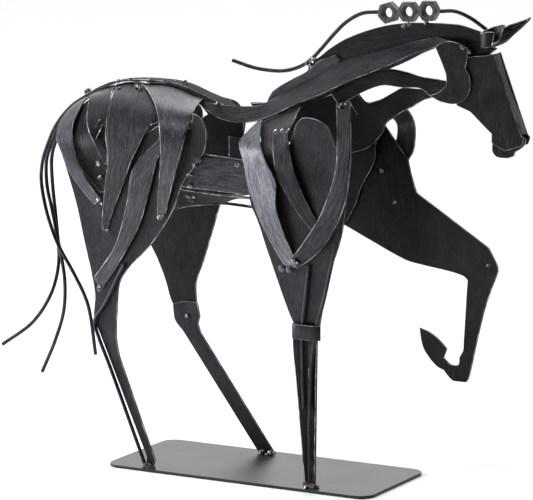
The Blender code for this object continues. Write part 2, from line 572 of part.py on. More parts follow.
def nut(name, x, z, turn, material):
    """A hexagon nut with its hole along Y, built as rings around the hole's axis."""
    work = bmesh.new()
    count = 24
    rings = []
    for y in (-NUT_HEIGHT / 2, NUT_HEIGHT / 2):
        outer = []
        inner = []
        for k in range(count):
            angle = 2 * math.pi * k / count
            reach = NUT_FLATS / 2 / math.cos((angle + math.pi / 6) % (math.pi / 3) - math.pi / 6)
            around = Vector((math.cos(angle + turn), 0, math.sin(angle + turn)))
            centre = Vector((x, y, z))
            outer.append(work.verts.new(centre + around * reach))
            inner.append(work.verts.new(centre + around * NUT_HOLE / 2))
        rings.append((outer, inner))
    (outer_a, inner_a), (outer_b, inner_b) = rings
    for first, second in ((outer_a, outer_b), (outer_b, inner_b), (inner_b, inner_a), (inner_a, outer_a)):
        for k in range(count):
            after = (k + 1) % count
            work.faces.new((first[k], first[after], second[after], second[k]))
    bmesh.ops.recalc_face_normals(work, faces=work.faces)
    mesh = bpy.data.meshes.new(name)
    work.to_mesh(mesh)
    work.free()
    keep(name, mesh, material)


def mane(material, rods):
    """Three nuts in a row on the crest, between a long and a short rod."""
    crest = point(66.9, 0, 193.35)
    middle = Vector((crest.x, 0, crest.z + GAP + NUT_FLATS / 2))
    slope = Vector((math.cos(NUT_SLOPE), 0, math.sin(NUT_SLOPE)))
    first = middle - slope * NUT_CORNERS
    third = middle + slope * (NUT_CORNERS - GAP / 2)
    nut("mane_nut_1", first.x, first.z, -FIRST_NUT_TURN, material)
    nut("mane_nut_2", middle.x, middle.z, math.radians(30), material)
    nut("mane_nut_3", third.x, third.z, math.radians(30), material)

    def drawn(p):
        return (p.x / SCALE, 0, (p.z - BASE_THICKNESS) / SCALE)

    start = drawn(first - Vector((NUT_FLATS / 2 + 2 * GAP, 0, 0)))
    end = drawn(third + Vector((NUT_CORNERS / 2 + GAP, 0, 0)))
    rod("mane_rod_rear", [
        (-15.5, 0, 172.7), (-4, 0, 170.1), (8, 0, 169.7), (14.5, 0, 171.2), (20.2, 0, 174.1),
        (26.2, 0, 179.7), (31.6, 0, 185.6), (37.9, 0, 191.6), (45.5, 0, 195.8), start], rods)
    rod("mane_rod_front", [end, (87.5, 0, 198.9), (94.5, 0, 196.6), (102, 0, 192.1)], rods)


def tail(rods):
    """Three rods from the croup that cross half way down and splay at their tips."""
    side = ROD + GAP
    root = [(-84.9 - GAP, 153.7), (-89.3, 151.3)]
    lines = {
        "tail_rod_1": (-side, [
            (-94.5, 0, 147.5), (-101.5, 0, 139.4), (-106, -0.1, 130), (-108, -0.4, 123.9),
            (-108.7, -0.7, 115.7), (-106.4, -0.9, 103.2), (-102, -0.6, 90.6), (-98.8, -0.3, 84.5),
            (-93.5, 0.9, 75.2), (-87.9, 2.9, 61.9), (-84.7, 3.9, 39.8)]),
        "tail_rod_2": (0, [
            (-94.5, 0, 147.3), (-101, 0, 138.6), (-105.6, 0, 129.6), (-107.5, 0, 123.7),
            (-107.4, 0, 112.6), (-104.8, 0, 101.6), (-101.9, 0, 88.4), (-100, 0, 79.6),
            (-98.8, 0, 70.8), (-99.5, 0, 58.3), (-103.9, 0, 44.9), (-110.9, 0, 29.9)]),
        "tail_rod_3": (side, [
            (-94.5, 0, 147.1), (-100.5, 0, 138.3), (-105, 0.1, 129.3), (-106.2, 0.1, 123.5),
            (-106, 0.5, 112.2), (-104.6, 0.6, 98.9), (-103.4, 0.3, 88), (-102.9, 0, 80.6),
            (-103.6, -1.4, 71.8), (-106.3, -3.4, 62.9), (-113.5, -5.4, 52.2), (-127.4, -7.9, 41.6)]),
    }
    for name, (y, route) in lines.items():
        rod(name, [(x, y, z) for x, z in root] + [(x, y + dy, z) for x, dy, z in route], rods)


def main():
    clear_scene()
    plate_black = steel("plate_black", (0.035, 0.035, 0.038), 0.5)
    strap_black = steel("strap_black", (0.05, 0.05, 0.055), 0.4)
    rod_black = steel("rod_black", (0.03, 0.03, 0.032), 0.45)
    nut_black = steel("nut_black", (0.06, 0.06, 0.06), 0.4)
    base_black = steel("base_black", (0.06, 0.06, 0.065), 0.55)
    base_plate(base_black)
    hind_legs(plate_black, rod_black)
    haunch(RIGHT, RIGHT_FACE, 0, (1, 2, 3, 4, 5, 6), strap_black)
    haunch(LEFT, LEFT_FACE, -1.5, (1, 3, 4, 6), strap_black)
    spine(strap_black)
    belly(strap_black)
    right_fore_leg(plate_black, strap_black, rod_black)
    left_fore_leg(plate_black, strap_black)
    neck(strap_black)
    head(strap_black)
    ears(strap_black)
    mane(nut_black, rod_black)
    tail(rod_black)


main()
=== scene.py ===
"""Dresses the striding horse of welded steel straps: finish with painted light and shade, worn edges with
painted highlights, welds, light, camera.

Sizes are in millimetres until keep() turns them into metres. The sheets and rods follow the
same named sizes and points as the CAD source, with finer curves, bevelled edges and the
marks that hand work leaves on them; bright burrs and bevels there also paint the highlights of lit edges.
"""
import math

import bmesh
import bpy
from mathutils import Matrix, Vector, noise


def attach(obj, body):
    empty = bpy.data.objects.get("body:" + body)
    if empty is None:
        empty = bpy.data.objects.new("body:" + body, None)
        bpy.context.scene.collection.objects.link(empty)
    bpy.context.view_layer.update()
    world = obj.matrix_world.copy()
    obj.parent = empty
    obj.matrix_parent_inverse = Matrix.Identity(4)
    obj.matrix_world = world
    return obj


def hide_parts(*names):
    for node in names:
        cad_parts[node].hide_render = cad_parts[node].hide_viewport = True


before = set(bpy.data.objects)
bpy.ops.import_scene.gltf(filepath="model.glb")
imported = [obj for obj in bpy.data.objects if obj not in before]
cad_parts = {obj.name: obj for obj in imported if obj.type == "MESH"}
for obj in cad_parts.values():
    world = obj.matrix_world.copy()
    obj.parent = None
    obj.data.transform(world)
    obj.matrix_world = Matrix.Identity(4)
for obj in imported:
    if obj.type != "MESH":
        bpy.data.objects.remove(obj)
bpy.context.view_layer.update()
noise.seed_set(5)          # the same waver on every run

MM = 0.001

# Sizes shared with the CAD source
HORSE_HEIGHT = 202.5       # from the base plate's top to the top of the nuts
BASE_THICKNESS = 1.3
PLATE = 1.0                # thickness of the leg plates
STRAP = 0.8                # thickness of the bent straps and the head's sheets
ROD = 1.6                  # diameter of the leg, tail and mane rods
GAP = 0.3                  # clearance left between pieces that touch
RIGHT_LEG_Y = 24.5         # middle of the right hind leg plate, out from the centre plane
SHOULDER_INSET = 1.5       # the right fore leg plate sits this much further in
LEFT_LEG_Y = 22.5          # middle of the left leg plates, out from the centre plane
SPINE_WIDTH = 8.0
BELLY_WIDTH = 20.0         # width of the strap that closes the belly
HEAD_WIDTH = 6.0           # between the middles of the two face plates
NUT_FLATS = 8.0            # across the flats
NUT_HEIGHT = 4.0
NUT_HOLE = 4.6
NUT_SLOPE = math.radians(5.6)      # the row of nuts climbs towards the head
FIRST_NUT_TURN = math.radians(12)
CUFF_HEIGHT = 6.3

# The figure's own drawing height, and what follows from the driving sizes
DRAWN_HEIGHT = 202.5
SCALE = HORSE_HEIGHT / DRAWN_HEIGHT
PLY = STRAP + GAP                        # one strap lying on another
RIGHT_FACE = RIGHT_LEG_Y + PLATE / 2     # outer face of the right hind plate
SHOULDER_Y = RIGHT_LEG_Y - SHOULDER_INSET
SHOULDER_FACE = SHOULDER_Y + PLATE / 2
LEFT_FACE = LEFT_LEG_Y + PLATE / 2
INNER_PLATE_STEP = PLATE + GAP           # a plate lying inside another
ON_PLATE = GAP + STRAP / 2               # middle of a strap lying on a face
ROD_ON_PLATE = GAP + ROD / 2
NUT_CORNERS = NUT_FLATS / math.cos(math.radians(30))
NECK_HALF = 11.0                         # half breadth of the neck bands' hem
CHEEK_Y = HEAD_WIDTH / 2 + PLY
CREST_SIDE = PLY                         # middle of a sheet lying on the crest

RIGHT = -1
LEFT = 1

# Looks only
CURVE_STEP = 1.6           # length of one facet along a curve
CELL = 2.2                 # greatest width of one facet across a strap
EDGE = 0.17                # width of the bevel along each sheet's edge, worn steel that is also a painted highlight
WAVER = 0.10               # how far hand work pushes a sheet out of true
FOLDED = "right_cannon_plate"
TWISTED = "right_shoulder_strap_1"
TWIST = 3.0                # how far in the twisted strap's rear edge turns
TWIST_FOOT = 104           # drawn heights between which it turns
TWIST_TOP = 147
TWIST_GROWS = 12           # height over which the turn grows from the foot
TWIST_FADES = 6            # height over which it fades to the top
ROD_SIDES = 16
ROD_END = 0.72             # radius of a rod's end face, as a share of the rod's own
ROD_ROUND = 0.28           # length rounded off at a rod's end, as a share of the radius
NUT_SIDES = 72
NUT_CROWN = 0.985          # radius where the nut's chamfer starts, as a share of its half width
NUT_CHAMFER = math.radians(32)
COUNTERSINK = 0.35
THREAD = 0.28              # how far the nut's thread stands in
PITCH = 0.8                # of the thread
STREAK = 1.25              # streaks in the paint for each millimetre across the grain


def point(x, y, z):
    """A point of the figure: x and z are drawn sizes, y is a real distance."""
    return Vector((x * SCALE, y, BASE_THICKNESS + z * SCALE))


def parts(ends, step):
    """How many steps each piece of a line needs."""
    return [max(1, round((b - a).length / step)) for a, b in zip(ends, ends[1:])]


def curve_through(points, counts=None):
    """Points along a smooth curve through the given ones, so many between each two of them."""
    if len(points) < 3:
        return list(points)
    counts = counts or parts(points, CURVE_STEP)
    ends = [2 * points[0] - points[1]] + list(points) + [2 * points[-1] - points[-2]]
    made = []
    for corners, count in zip(zip(ends, ends[1:], ends[2:], ends[3:]), counts):
        times = [0.0]
        for p, q in zip(corners, corners[1:]):
            times.append(times[-1] + max((q - p).length, 1e-6) ** 0.5)
        for k in range(count):
            made.append(curve_point(corners, times, times[1] + (times[2] - times[1]) * k / count))
    made.append(points[-1].copy())
    return made


def curve_point(corners, times, t):
    """A point of the centripetal spline segment between the second and third corner."""
    level = list(corners)
    for reach in (1, 2):
        level = [
            blend(level[i], level[i + 1], times[i], times[i + reach], t)
            for i in range(len(level) - 1)
        ]
    return blend(level[0], level[1], times[1], times[2], t)


def blend(p, q, start, end, t):
    return p * ((end - t) / (end - start)) + q * ((t - start) / (end - start))


def waver(p, reach):
    """A small smooth push that depends on the place alone: a slow sway and a finer one."""
    slow = noise.noise_vector(p / 17) * reach
    return slow + noise.noise_vector(p / 6 + Vector((40, 0, 0))) * reach * 0.3


def add_object(name, data):
    """Puts a new object that holds the data into the scene."""
    made = bpy.data.objects.new(name, data)
    bpy.context.scene.collection.objects.link(made)
    return made


def keep(name, work, finish, node=None):
    """Links a bmesh as the piece that stands for a CAD node, or as trim where node is ''."""
    material, slot = finish
    mesh = bpy.data.meshes.new(name)
    work.to_mesh(mesh)
    work.free()
    mesh.transform(((MM, 0, 0, 0), (0, MM, 0, 0), (0, 0, MM, 0), (0, 0, 0, 1)))
    mesh.shade_smooth()
    mesh.set_sharp_from_angle(angle=math.radians(32))
    mesh.materials.append(material)
    made = add_object("dressed_" + name, mesh)
    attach(made, "root")
    if node != "":
        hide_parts(node or name)
    return made


def bevel_worn_highlit_edges(made, least_angle):
    """Bevels a piece's sharp edges and shows worn steel along them, which also paints the highlight of a
    lit edge.
    """
    made.data.materials.append(worn_and_highlit_bevel)
    edge = made.modifiers.new("worn_and_highlit_bevel", "BEVEL")
    edge.width = EDGE * MM
    edge.segments = 2
    edge.limit_method = "ANGLE"
    edge.angle_limit = math.radians(least_angle)
    edge.material = 1
    return edge


def across_row(row, fold):
    """A row's points closer together: straight between them where the sheet is folded."""
    if len(row) > 2 and not fold:
        return curve_through(list(row), parts(row, CELL))
    made = []
    for a, b in zip(row, row[1:]):
        count = max(1, math.ceil((b - a).length / CELL))
        made += [a.lerp(b, k / count) for k in range(count)]
    return made + [row[-1]]


def spread(line, width):
    """The same row with as many points as the widest row has."""
    if len(line) == width:
        return line
    made = []
    for k in range(width):
        place = k * (len(line) - 1) / (width - 1)
        low = min(int(place), len(line) - 2)
        made.append(line[low].lerp(line[low + 1], place - low))
    return made


def twisted(line):
    """A row of the first shoulder strap, with its rear edge turned in towards the body."""
    height = line[0].z / SCALE - BASE_THICKNESS
    share = min(1.0, (height - TWIST_FOOT) / TWIST_GROWS, (TWIST_TOP - height) / TWIST_FADES)
    turn = TWIST * max(0.0, share)
    last = len(line) - 1
    return [p + Vector((0, turn * (1 - k / last), 0)) for k, p in enumerate(line)]


def sheet(name, rows, thickness, fold=False):
    """A bent sheet: rows of points across it become a surface with an even thickness. Its grain
    is laid across the sheet in u and along it in v, in millimetres."""
    lines = [across_row(row, fold) for row in rows]
    width = max(len(line) for line in lines)
    lines = [spread(line, width) for line in lines]
    if name == TWISTED:
        lines = [twisted(line) for line in lines]
    work = bmesh.new()
    layer = work.loops.layers.uv.new("grain")
    flat = {}
    grid = []
    along = 0.0
    for i, line in enumerate(lines):
        if i:
            along += (line[width // 2] - lines[i - 1][width // 2]).length
        ring = []
        run = 0.0
        for k, p in enumerate(line):
            run += (p - line[k - 1]).length if k else 0
            vert = work.verts.new(p + waver(p, WAVER))
            flat[vert] = (run, along)
            ring.append(vert)
        grid.append(ring)
    for above, below in zip(grid, grid[1:]):
        for k in range(width - 1):
            face = work.faces.new((above[k], above[k + 1], below[k + 1], below[k]))
            for loop in face.loops:
                loop[layer].uv = flat[loop.vert]
    made = keep(name, work, FINISHES.get(name, strap_black))
    thick = made.modifiers.new("thickness", "SOLIDIFY")
    thick.thickness = thickness * MM
    thick.offset = 0
    thick.use_even_offset = True
    bevel_worn_highlit_edges(made, 50)


def bent(name, rows, thickness=STRAP):
    """A sheet through rows of points that run from one edge to the other."""
    lines = list(zip(*rows))
    counts = [max(found) for found in zip(*(parts(line, CURVE_STEP) for line in lines))]
    draw = curve_through if len(rows) > 2 else straight
    sheet(name, list(zip(*(draw(line, counts) for line in lines))), thickness, name == FOLDED)


def straight(line, counts):
    return [line[0].lerp(line[1], k / counts[0]) for k in range(counts[0] + 1)]


def strap(name, stations, thickness=STRAP):
    """A sheet through stations, each a row of drawn points."""
    bent(name, [[point(*p) for p in row] for row in stations], thickness)


def ribbon(name, half, path):
    """A strip that lies across the centre plane, along a path of (x, z)."""
    strap(name, [[(x, -half, z), (x, half, z)] for x, z in path])


def plate(name, runs, y, thickness=PLATE):
    """A flat plate in the XZ plane. Runs of (x, z) are smooth, and meet in corners."""
    edge = []
    for run in runs:
        edge += curve_through([point(x, 0, z) for x, z in run])[:-1]
    work = bmesh.new()
    layer = work.loops.layers.uv.new("grain")
    face = work.faces.new([work.verts.new((p.x, y - thickness / 2, p.z)) for p in edge])
    bmesh.ops.recalc_face_normals(work, faces=[face])
    moved = bmesh.ops.extrude_face_region(work, geom=[face])
    corners = [v for v in moved["geom"] if isinstance(v, bmesh.types.BMVert)]
    bmesh.ops.translate(work, vec=(0, thickness, 0), verts=corners)
    bmesh.ops.recalc_face_normals(work, faces=work.faces)
    lengthways = name == "crest_plate"
    for face in work.faces:
        for loop in face.loops:
            spot = loop.vert.co
            loop[layer].uv = (spot.z, spot.x + spot.y) if lengthways else (spot.x, spot.z + spot.y)
    bevel_worn_highlit_edges(keep(name, work, FINISHES.get(name, plate_black)), 40).harden_normals = True


def tube(name, path, radius, finish, node=None, sides=ROD_SIDES):
    """A round rod with rounded ends along a path of points."""
    work = bmesh.new()
    layer = work.loops.layers.uv.new("grain")
    side = Vector((0, 1, 0))
    last = len(path) - 1
    stops = [(0, ROD_END)] + [(i, 1.0) for i in range(len(path))] + [(last, ROD_END)]
    push = {1: ROD_ROUND * radius, len(stops) - 2: -ROD_ROUND * radius}
    rings = []
    along = 0.0
    for n, (i, share) in enumerate(stops):
        ahead = (path[min(i + 1, last)] - path[max(i - 1, 0)]).normalized()
        side = (side - ahead * side.dot(ahead)).normalized()
        other = ahead.cross(side)
        centre = path[i] + ahead * push.get(n, 0)
        if i and share == 1.0:
            along += (path[i] - path[i - 1]).length
        ring = []
        for k in range(sides):
            turn = 2 * math.pi * k / sides
            way = side * math.cos(turn) + other * math.sin(turn)
            ring.append(work.verts.new(centre + way * radius * share))
        rings.append((ring, along))
    for (a, low), (b, high) in zip(rings, rings[1:]):
        for k in range(sides):
            after = (k + 1) % sides
            face = work.faces.new((a[k], a[after], b[after], b[k]))
            spots = ((k, low), (k + 1, low), (k + 1, high), (k, high))
            for loop, (turn, v) in zip(face.loops, spots):
                loop[layer].uv = (turn * 2 * math.pi * radius / sides, v)
    work.faces.new(rings[0][0])
    work.faces.new(rings[-1][0])
    bmesh.ops.recalc_face_normals(work, faces=work.faces)
    keep(name, work, finish, node)


def rod(name, points):
    stops = [point(*p) for p in points]
    tube(name, curve_through(stops, parts(stops, ROD)), ROD / 2, rod_black)


def level(table, x):
    """The height of a line of (x, z) points at x."""
    for (x0, z0), (x1, z1) in zip(table, table[1:]):
        if x0 <= x <= x1:
            return z0 + (z1 - z0) * (x - x0) / (x1 - x0)
    return table[0][1] if x < table[0][0] else table[-1][1]


def side_strap(name, side, face, tops, stations, shift=0.0):
    """A strap on one flank, below its top rows of drawn points. A station is (left x, z,
    right x, z, lift), where lift is how far it stands out from a strap that lies on the leg
    plate's face. A second lift is for the right edge where the strap tilts."""
    rows = [[point(*p) for p in row] for row in tops]
    count = len(rows[0]) if rows else 2
    for xl, zl, xr, zr, *lifts in stations:
        left = point(xl + shift, side * (face + ON_PLATE + lifts[0]), zl)
        right = point(xr + shift, side * (face + ON_PLATE + lifts[-1]), zr)
        rows.append([left.lerp(right, k / (count - 1)) for k in range(count)])
    bent(name, rows)


def nut(name, x, z, turn):
    """A hexagon nut with its hole along Y: chamfered corners, a countersink and a thread."""
    half = NUT_HEIGHT / 2
    flat = NUT_FLATS / 2
    hole = NUT_HOLE / 2
    inner = [(hole + COUNTERSINK, half), (hole, half - COUNTERSINK)]
    for k in range(int((NUT_HEIGHT - 0.9) / PITCH)):
        y = half - 0.45 - k * PITCH
        inner += [(hole - THREAD, y - PITCH * 0.35), (hole - THREAD, y - PITCH * 0.55)]
        inner += [(hole, y - PITCH * 0.9)]
    inner += [(hole, -half + COUNTERSINK), (hole + COUNTERSINK, -half)]
    columns = []
    for k in range(NUT_SIDES):
        angle = 2 * math.pi * k / NUT_SIDES
        reach = flat / math.cos((angle + math.pi / 6) % (math.pi / 3) - math.pi / 6)
        crown = flat * NUT_CROWN
        drop = (reach - crown) * math.tan(NUT_CHAMFER) + 0.02
        profile = [(crown, -half), (reach, -half + drop), (reach, half - drop), (crown, half)]
        across, up = math.cos(angle + turn), math.sin(angle + turn)
        columns.append([Vector((x + across * r, y, z + up * r)) for r, y in profile + inner])
    work = bmesh.new()
    layer = work.loops.layers.uv.new("grain")
    rings = [[work.verts.new(spot) for spot in ring] for ring in zip(*columns)]
    for first, second in zip(rings, rings[1:] + rings[:1]):
        for k in range(NUT_SIDES):
            after = (k + 1) % NUT_SIDES
            face = work.faces.new((first[k], first[after], second[after], second[k]))
            for loop in face.loops:
                loop[layer].uv = (loop.vert.co.x, loop.vert.co.z)
    bmesh.ops.recalc_face_normals(work, faces=work.faces)
    keep(name, work, nut_black)


def new_paint(name):
    """A material, with its node tree and its shader."""
    made = bpy.data.materials.new(name)
    made.use_nodes = True
    return made, made.node_tree, made.node_tree.nodes["Principled BSDF"]


def fill(tree, node, values, sources):
    """Sets some inputs of a node, and feeds others from the outputs of other nodes."""
    for socket, value in values.items():
        node.inputs[socket].default_value = value
    for socket, source in sources.items():
        tree.links.new(source, node.inputs[socket])


def noise_at(tree, scale, detail, rough, stretch=None):
    """Noise in the object's own metres, or in the grain's millimetres where it is stretched."""
    place = tree.nodes.new("ShaderNodeTexCoord").outputs["UV" if stretch else "Object"]
    move = tree.nodes.new("ShaderNodeMapping")
    fill(tree, move, {"Scale": stretch or (1, 1, 1)}, {"Vector": place})
    made = tree.nodes.new("ShaderNodeTexNoise")
    fill(tree, made, {"Scale": scale, "Detail": detail, "Roughness": rough}, {
        "Vector": move.outputs["Vector"]})
    return made.outputs["Fac"]


def ramp(tree, value, stops):
    """A colour ramp through stops of (place, shade), a shade being one number or three."""
    made = tree.nodes.new("ShaderNodeValToRGB")
    bar = made.color_ramp
    while len(bar.elements) < len(stops):
        bar.elements.new(0.5)
    for stop, (place, shade) in zip(bar.elements, stops):
        stop.position = place
        stop.color = (*shade, 1) if isinstance(shade, tuple) else (shade, shade, shade, 1)
    tree.links.new(value, made.inputs["Fac"])
    return made.outputs["Color"]


def multiply(tree, a, b):
    made = tree.nodes.new("ShaderNodeMix")
    made.data_type = "RGBA"
    made.blend_type = "MULTIPLY"
    fill(tree, made, {0: 1.0}, {6: a, 7: b})
    return made.outputs[2]


def bump(tree, height, strength, distance, normal=None):
    made = tree.nodes.new("ShaderNodeBump")
    sources = {"Height": height, "Normal": normal} if normal else {"Height": height}
    fill(tree, made, {"Strength": strength, "Distance": distance * MM}, sources)
    return made.outputs["Normal"]


TINT = (0.96, 0.97, 1.05)      # the paint's cold cast


def tinted(shade):
    return tuple(shade * part for part in TINT)


def paint(name, dark, light, rough, metal, brushed):
    """Blackened, brushed steel: streaks from dark to light along the grain, with thin and thick
    coats. Metal is the share of bare steel, and brushed says how deep the brushing is."""
    made, tree, shader = new_paint(name)
    lines = noise_at(tree, 1.0, 5, 0.75, (STREAK, STREAK / 11, 1))
    hair = noise_at(tree, 1.0, 4, 0.7, (STREAK * 2.4, STREAK / 3, 1))
    cloud = noise_at(tree, 90, 3, 0.55)
    middle = tinted(dark * 0.6 + light * 0.4)
    streaks = ramp(tree, lines, [(0.36, tinted(dark)), (0.5, middle), (0.66, tinted(light))])
    rubbed = ramp(tree, hair, [(0.3, 0.3), (0.7, 1.0)])
    patches = ramp(tree, cloud, [(0.3, 0.54), (0.7, 0.84)])
    fine = bump(tree, hair, 0.8 * brushed, 0.12)
    fill(tree, shader, {"Metallic": metal, "Specular IOR Level": 0.22}, {
        "Base Color": multiply(tree, multiply(tree, streaks, rubbed), patches),
        "Roughness": ramp(tree, hair, [(0.3, rough - 0.1), (0.7, rough + 0.12)]),
        "Normal": bump(tree, lines, 0.8 * brushed, 0.3, fine)})
    return made


def bare_and_highlit_bevel(name):
    """Paint rubbed thin along an edge, with bright steel showing in places, which also paints the
    highlight of a lit edge.
    """
    made, tree, shader = new_paint(name)
    patches = noise_at(tree, 240, 4, 0.6)
    fill(tree, shader, {"Metallic": 0.55}, {
        "Base Color": ramp(tree, patches, [(0.36, 0.04), (0.5, 0.22), (0.64, 0.6)]),
        "Roughness": ramp(tree, patches, [(0.35, 0.5), (0.65, 0.3)])})
    return made


def weld_metal(name):
    """Rough, half bright metal, as weld spatter is."""
    made, tree, shader = new_paint(name)
    grit = noise_at(tree, 900, 4, 0.65)
    fill(tree, shader, {"Metallic": 0.7}, {
        "Base Color": ramp(tree, grit, [(0.36, 0.03), (0.5, 0.12), (0.62, 0.55)]),
        "Roughness": ramp(tree, grit, [(0.35, 0.45), (0.65, 0.2)]),
        "Normal": bump(tree, grit, 0.7, 0.15)})
    return made


# The finishes, each a material and its slot. The numbers are as paint() names them.
plate_black = (paint("plate_paint", 0.036, 0.066, 0.42, 0.8, 0.3), "plate_black")
# A darker copy of the plate paint: painted shade on the far side's leg plates.
shaded_far_side_plate = (paint("shaded_far_side_plate_paint", 0.020, 0.040, 0.42, 0.8, 0.25), "plate_black")
strap_black = (paint("strap_paint", 0.040, 0.12, 0.36, 0.85, 0.8), "strap_black")
gloss_strap = (paint("gloss_strap_paint", 0.040, 0.12, 0.20, 0.9, 0.8), "strap_black")
# A lighter copy of the strap paint: painted light on the first haunch strap and a painted highlight on
# the nose strip.
lighter_lit_strap = (paint("lighter_lit_strap_paint", 0.08, 0.19, 0.38, 0.75, 0.8), "strap_black")
# A darker copy of the strap paint: painted shade on the straps it finishes.
darker_shaded_strap = (paint("darker_shaded_strap_paint", 0.018, 0.080, 0.36, 0.85, 1.0), "strap_black")
# A darker copy of the strap paint: painted shade on the head, neck and the third haunch strap.
shaded_head_and_neck_strap = (paint("shaded_head_and_neck_paint", 0.014, 0.044, 0.36, 0.8, 0.6), "strap_black")
# A near black copy of the strap paint with little sheen: painted shade on the belly, chines, spine strip
# and far side pieces.
near_black_shaded_strap = (paint("near_black_shaded_strap_paint", 0.003, 0.010, 0.7, 0.1, 0.5), "strap_black")
# A much lighter copy of the strap paint: a painted highlight on the first shoulder strap.
painted_highlight_strap = (paint("painted_highlight_strap_paint", 0.10, 0.32, 0.32, 0.75, 0.7), "strap_black")
rod_black = (paint("rod_paint", 0.03, 0.08, 0.3, 0.8, 0.3), "rod_black")
nut_black = (paint("nut_paint", 0.07, 0.28, 0.34, 0.8, 0.5), "nut_black")
weld = (weld_metal("weld_bead"), "plate_black")
# Worn paint along the bevels, bright enough to be a painted highlight on lit edges.
worn_and_highlit_bevel = bare_and_highlit_bevel("worn_and_highlit_bevel")

# The pieces whose finish is not the usual one of a plate or a strap. Most are lighter or darker copies of
# one paint that paint light and shade on them.
FINISHED = (
    (plate_black, "right_cannon_plate right_knee_cuff"),
    (shaded_far_side_plate, "left_foreleg_plate left_thigh_plate"),
    (painted_highlight_strap, "right_shoulder_strap_1"),
    (lighter_lit_strap, "right_haunch_strap_1 nose_strip"),
    (gloss_strap, "right_haunch_strap_6"),
    (darker_shaded_strap, "right_haunch_strap_2 right_haunch_strap_4 right_shoulder_strap_3"),
    (darker_shaded_strap, "right_shoulder_strap_4 right_neck_band left_neck_band"),
    (shaded_head_and_neck_strap, "right_haunch_strap_3 right_throat_strap crest_plate right_cheek_plate"),
    (shaded_head_and_neck_strap, "left_cheek_plate right_face_plate left_face_plate muzzle_plate jaw_strip"),
    (shaded_head_and_neck_strap, "right_ear left_ear"),
    (near_black_shaded_strap, "spine_strip belly_strap left_belly_strip right_belly_chine left_belly_chine"),
    (near_black_shaded_strap, "left_throat_strap left_shoulder_plate left_haunch_strap_1"),
    (near_black_shaded_strap, "left_haunch_strap_2 left_haunch_strap_3 left_haunch_strap_4"),
)
FINISHES = {name: finish for finish, names in FINISHED for name in names.split()}

# The back line, as (x, height of the spine strip's middle)
SPINE = [(-84.5, 154.3), (-80, 156.8), (-72.5, 160), (-65, 161.4), (-57, 162), (-44.5, 161.9),
         (-38, 161), (-33, 159.5), (-29, 158), (-22, 155.7), (-15, 152.6), (-11, 151)]
FOOT = GAP / SCALE          # the feet's drawn height over the base plate


def hind_legs():
    plate("right_thigh_plate", [
        [(-82.9, 127.5), (-78, 129.5), (-70, 132), (-66, 132.8), (-64, 137),
         (-62.5, 139.8), (-58, 140), (-54, 139.5), (-47, 141), (-41.5, 143.8), (-37, 146.6), (-32, 147.2),
         (-21.5, 146.5)],
        [(-21.5, 146.5), (-20.3, 153)],
        [(-20.3, 153), (-17, 151.5), (-14.5, 147.5), (-14, 143), (-15.5, 136.5), (-25.5, 123),
         (-30.3, 111.3), (-41.2, 95.8), (-52.2, 84.8), (-56.2, 78.5), (-57.6, 66.5), (-58, 54),
         (-56.6, 46.7)],
        [(-56.6, 46.7), (-39.4, 3.5)],
        [(-39.4, 3.5), (-40.2, FOOT)],
        [(-40.2, FOOT), (-43.6, FOOT)],
        [(-43.6, FOOT), (-43.4, 4.6)],
        [(-43.4, 4.6), (-66.2, 55.9)],
        [(-66.2, 55.9), (-69, 62), (-68.4, 72), (-70, 81), (-73.3, 94), (-77.6, 111.7),
         (-82.9, 127.5)],
    ], -RIGHT_LEG_Y)
    plate("left_thigh_plate", [
        [(-82.5, 127.5), (-77, 131.5), (-72, 136), (-66, 140), (-58, 141.5), (-50, 142),
         (-44, 143), (-40, 145.5), (-30, 147), (-22.5, 146)],
        [(-22.5, 146), (-22.5, 128)],
        [(-22.5, 128), (-33.9, 107), (-37.5, 96), (-42.5, 81), (-46, 71.5), (-45.6, 60.5)],
        [(-45.5, 60.5), (-56.5, 59.5)],
        [(-56.5, 59.5), (-58.5, 63), (-61.5, 72), (-65.5, 81), (-69, 87), (-73, 96), (-78, 113),
         (-82.5, 127.5)],
    ], LEFT_LEG_Y)
    plate("left_cannon_plate", [
        [(-57, 61.5), (-52, 63.2), (-44.9, 63.5)],
        [(-44.9, 63.5), (-43.4, 57.5)],
        [(-43.4, 57.5), (-44.2, 54), (-42.9, 50)],
        [(-42.9, 50), (-6.2, FOOT)],
        [(-6.2, FOOT), (-14.4, FOOT)],
        [(-14.4, FOOT), (-52.1, 50.5)],
        [(-52.1, 50.5), (-55.8, 54.5), (-57, 61.5)],
    ], LEFT_LEG_Y - INNER_PLATE_STEP)
    out = RIGHT_FACE + ROD_ON_PLATE
    rod("right_tendon_rod", [
        (-53.2, -out, 87), (-57.5, -out, 79), (-63, -out, 68.6), (-68, -out, 61),
        (-66.1, -out, 54.5), (-60.7, -out, 42.4), (-43.5, -out, FOOT + 1)])
    out = LEFT_FACE + ROD_ON_PLATE
    rod("left_tendon_rod", [
        (-41.8, out, 99), (-43.5, out, 94), (-48, out, 79), (-50.5, out, 68), (-51, out, 61.5)])


def haunch_top(side, xl, xr, plies):
    """The first row of a haunch strap, tucked some plies under the spine strip's edge."""
    y = side * (SPINE_WIDTH / 2 - 0.5)
    drop = PLY * plies / SCALE
    return [[(x, y, level(SPINE, x) - drop) for x in (xl, (xl + xr) / 2, xr)]]


